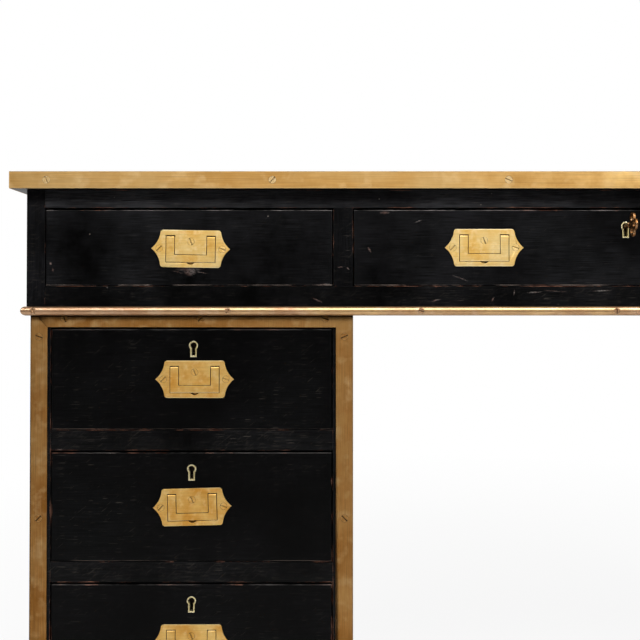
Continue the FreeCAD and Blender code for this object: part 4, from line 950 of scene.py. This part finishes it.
class DESK_OT_pedestals(bpy.types.Operator):
    """Cases of both pedestals with their brass strips"""
    bl_idname = "desk.pedestals"
    bl_label = "Pedestals"

    def execute(self, context):
        looks = context.scene.desk_looks
        for node in ("pedestal_sides", "pedestal_backs"):
            dress(node, black_lacquer_upright(), looks.wood_ease)
        for node in ("pedestal_rails", "pedestal_top_boards", "pedestal_bottom_boards"):
            dress(node, black_lacquer_level(), looks.wood_ease)
        dress("pedestal_brass_strips", strip_brass(), looks.strip_ease)
        return {"FINISHED"}


class DESK_OT_feet(bpy.types.Operator):
    """Eight turned feet"""
    bl_idname = "desk.feet"
    bl_label = "Feet"

    def execute(self, context):
        finish_node("turned_feet", black_lacquer_turned())
        return {"FINISHED"}


class DESK_OT_trim_screws(bpy.types.Operator):
    """Slotted screws in the brass"""
    bl_idname = "desk.trim_screws"
    bl_label = "Screws"

    def execute(self, context):
        screws = dress("trim_screws", screw_brass(), context.scene.desk_looks.screw_ease, rounds=1)
        low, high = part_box("waist_beading")
        second_finish(screws, brown_screw_brass(), lambda middle, normal: middle.z < low.z)
        second_finish(screws, bead_screw_brass(), lambda middle, normal: low.z < middle.z < high.z)
        return {"FINISHED"}


class DESK_OT_drawers(bpy.types.Operator):
    """Lacquered fronts and cedar insides of the nine drawers"""
    bl_idname = "desk.drawers"
    bl_label = "Drawers"

    def execute(self, context):
        for name in (*FRIEZE_DRAWERS, "centre", *DRAWERS):
            lacquered = black_lacquer_front() if name in DRAWERS else black_lacquer_hazed_front()
            front = dress(f"{name}_drawer_front", lacquered, context.scene.desk_looks.wood_ease)
            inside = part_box(f"{name}_drawer_front")[1].y - BARE_BACK
            second_finish(front, carcass_mahogany(), lambda middle, normal: middle.y > inside)
            finish_node(f"{name}_drawer_box", cedar_lining())
        return {"FINISHED"}


class DESK_OT_handles(bpy.types.Operator):
    """Flush handles, their bails and the escutcheons and locks that share the pedestal handles' nodes"""
    bl_idname = "desk.handles"
    bl_label = "Handles"

    def execute(self, context):
        ease = context.scene.desk_looks.handle_ease
        centre_plates = dress("centre_handle_plates", polished_handle_brass(), ease)
        plates = {"centre_left": centre_plates, "centre_right": centre_plates}
        for name in FRIEZE_DRAWERS:
            plates[name] = dress(f"{name}_handle_plate", polished_handle_brass(), ease)
        for name in DRAWERS:
            plates[name] = dress(f"{name}_brassware", brown_handle_brass(), ease)
        for name, plate in plates.items():
            finish = deep_handle_brass() if name == DEEP_BAIL else plate.data.materials[0]
            bail = dress(f"{name}_bail", finish, ease)
            grime(plate, f"{name}_bail", screw_places(name))
            grime(bail, f"{name}_bail")
        for name in DRAWERS:
            plate_top = bail_middle(name)[1] + PLATE_HEIGHT / 2 + JOINT
            second_finish(plates[name], escutcheon_brass(), lambda middle, normal: middle.z > plate_top)
            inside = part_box(f"{name}_brassware")[0].y + BRASS_DEPTH
            second_finish(plates[name], filed_lock_steel(), lambda middle, normal: middle.y > inside)
        return {"FINISHED"}


class DESK_OT_lock_and_key(bpy.types.Operator):
    """The centre drawer's escutcheon, lock, bolt and key"""
    bl_idname = "desk.lock_and_key"
    bl_label = "Lock and key"

    def execute(self, context):
        looks = context.scene.desk_looks
        dress("centre_escutcheon", escutcheon_brass(), looks.handle_ease)
        for node in ("centre_lock", "centre_lock_bolt"):
            dress(node, filed_lock_steel(), looks.strip_ease)
        dress("centre_key", cast_key_brass(), looks.key_ease, rounds=3)
        return {"FINISHED"}


class DESK_OT_stage(bpy.types.Operator):
    """Floor, soft lights, camera and white room"""
    bl_idname = "desk.stage"
    bl_label = "Stage"

    def execute(self, context):
        stage = context.scene.desk_stage
        lay_floor(stage.floor_size)
        for name in LIGHTS:
            hang_light(name, getattr(stage, f"{name}_power"))
        bpy.ops.object.camera_add(location=stage.camera_place,
                                  rotation=(math.radians(90) + stage.camera_pitch, 0, 0))
        camera = bpy.context.active_object
        camera.data.lens = stage.lens
        camera.data.sensor_width = SENSOR_WIDTH
        camera.data.shift_y = -stage.camera_fall
        context.scene.camera = camera
        context.scene.view_settings.view_transform = "Standard"
        context.scene.world = white_room(stage.room_light)
        return {"FINISHED"}


STEPS = (DESK_OT_top, DESK_OT_frieze, DESK_OT_beading, DESK_OT_pedestals, DESK_OT_feet, DESK_OT_trim_screws,
         DESK_OT_drawers, DESK_OT_handles, DESK_OT_lock_and_key, DESK_OT_stage)


class DESK_PT_panel(bpy.types.Panel):
    """Lists the desk's settings and pieces"""
    bl_idname = "DESK_PT_panel"
    bl_label = "Campaign desk"
    bl_space_type = "VIEW_3D"
    bl_region_type = "UI"
    bl_category = "Campaign desk"

    def draw(self, context):
        for group in (context.scene.desk_looks, context.scene.desk_stage):
            for name in group.__annotations__:
                self.layout.prop(group, name)
        for step in STEPS:
            self.layout.operator(step.bl_idname)


CLASSES = (DeskLooks, DeskStage, *STEPS, DESK_PT_panel)


def register():
    for item in CLASSES:
        bpy.utils.register_class(item)
    bpy.types.Scene.desk_looks = bpy.props.PointerProperty(type=DeskLooks)
    bpy.types.Scene.desk_stage = bpy.props.PointerProperty(type=DeskStage)


def unregister():
    del bpy.types.Scene.desk_stage
    del bpy.types.Scene.desk_looks
    for item in reversed(CLASSES):
        bpy.utils.unregister_class(item)


def main():
    """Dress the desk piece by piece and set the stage."""
    register()
    bpy.ops.desk.top()
    bpy.ops.desk.frieze()
    bpy.ops.desk.beading()
    bpy.ops.desk.pedestals()
    bpy.ops.desk.feet()
    bpy.ops.desk.trim_screws()
    bpy.ops.desk.drawers()
    bpy.ops.desk.handles()
    bpy.ops.desk.lock_and_key()
    bpy.ops.desk.stage()


if __name__ == "__main__":
    main()
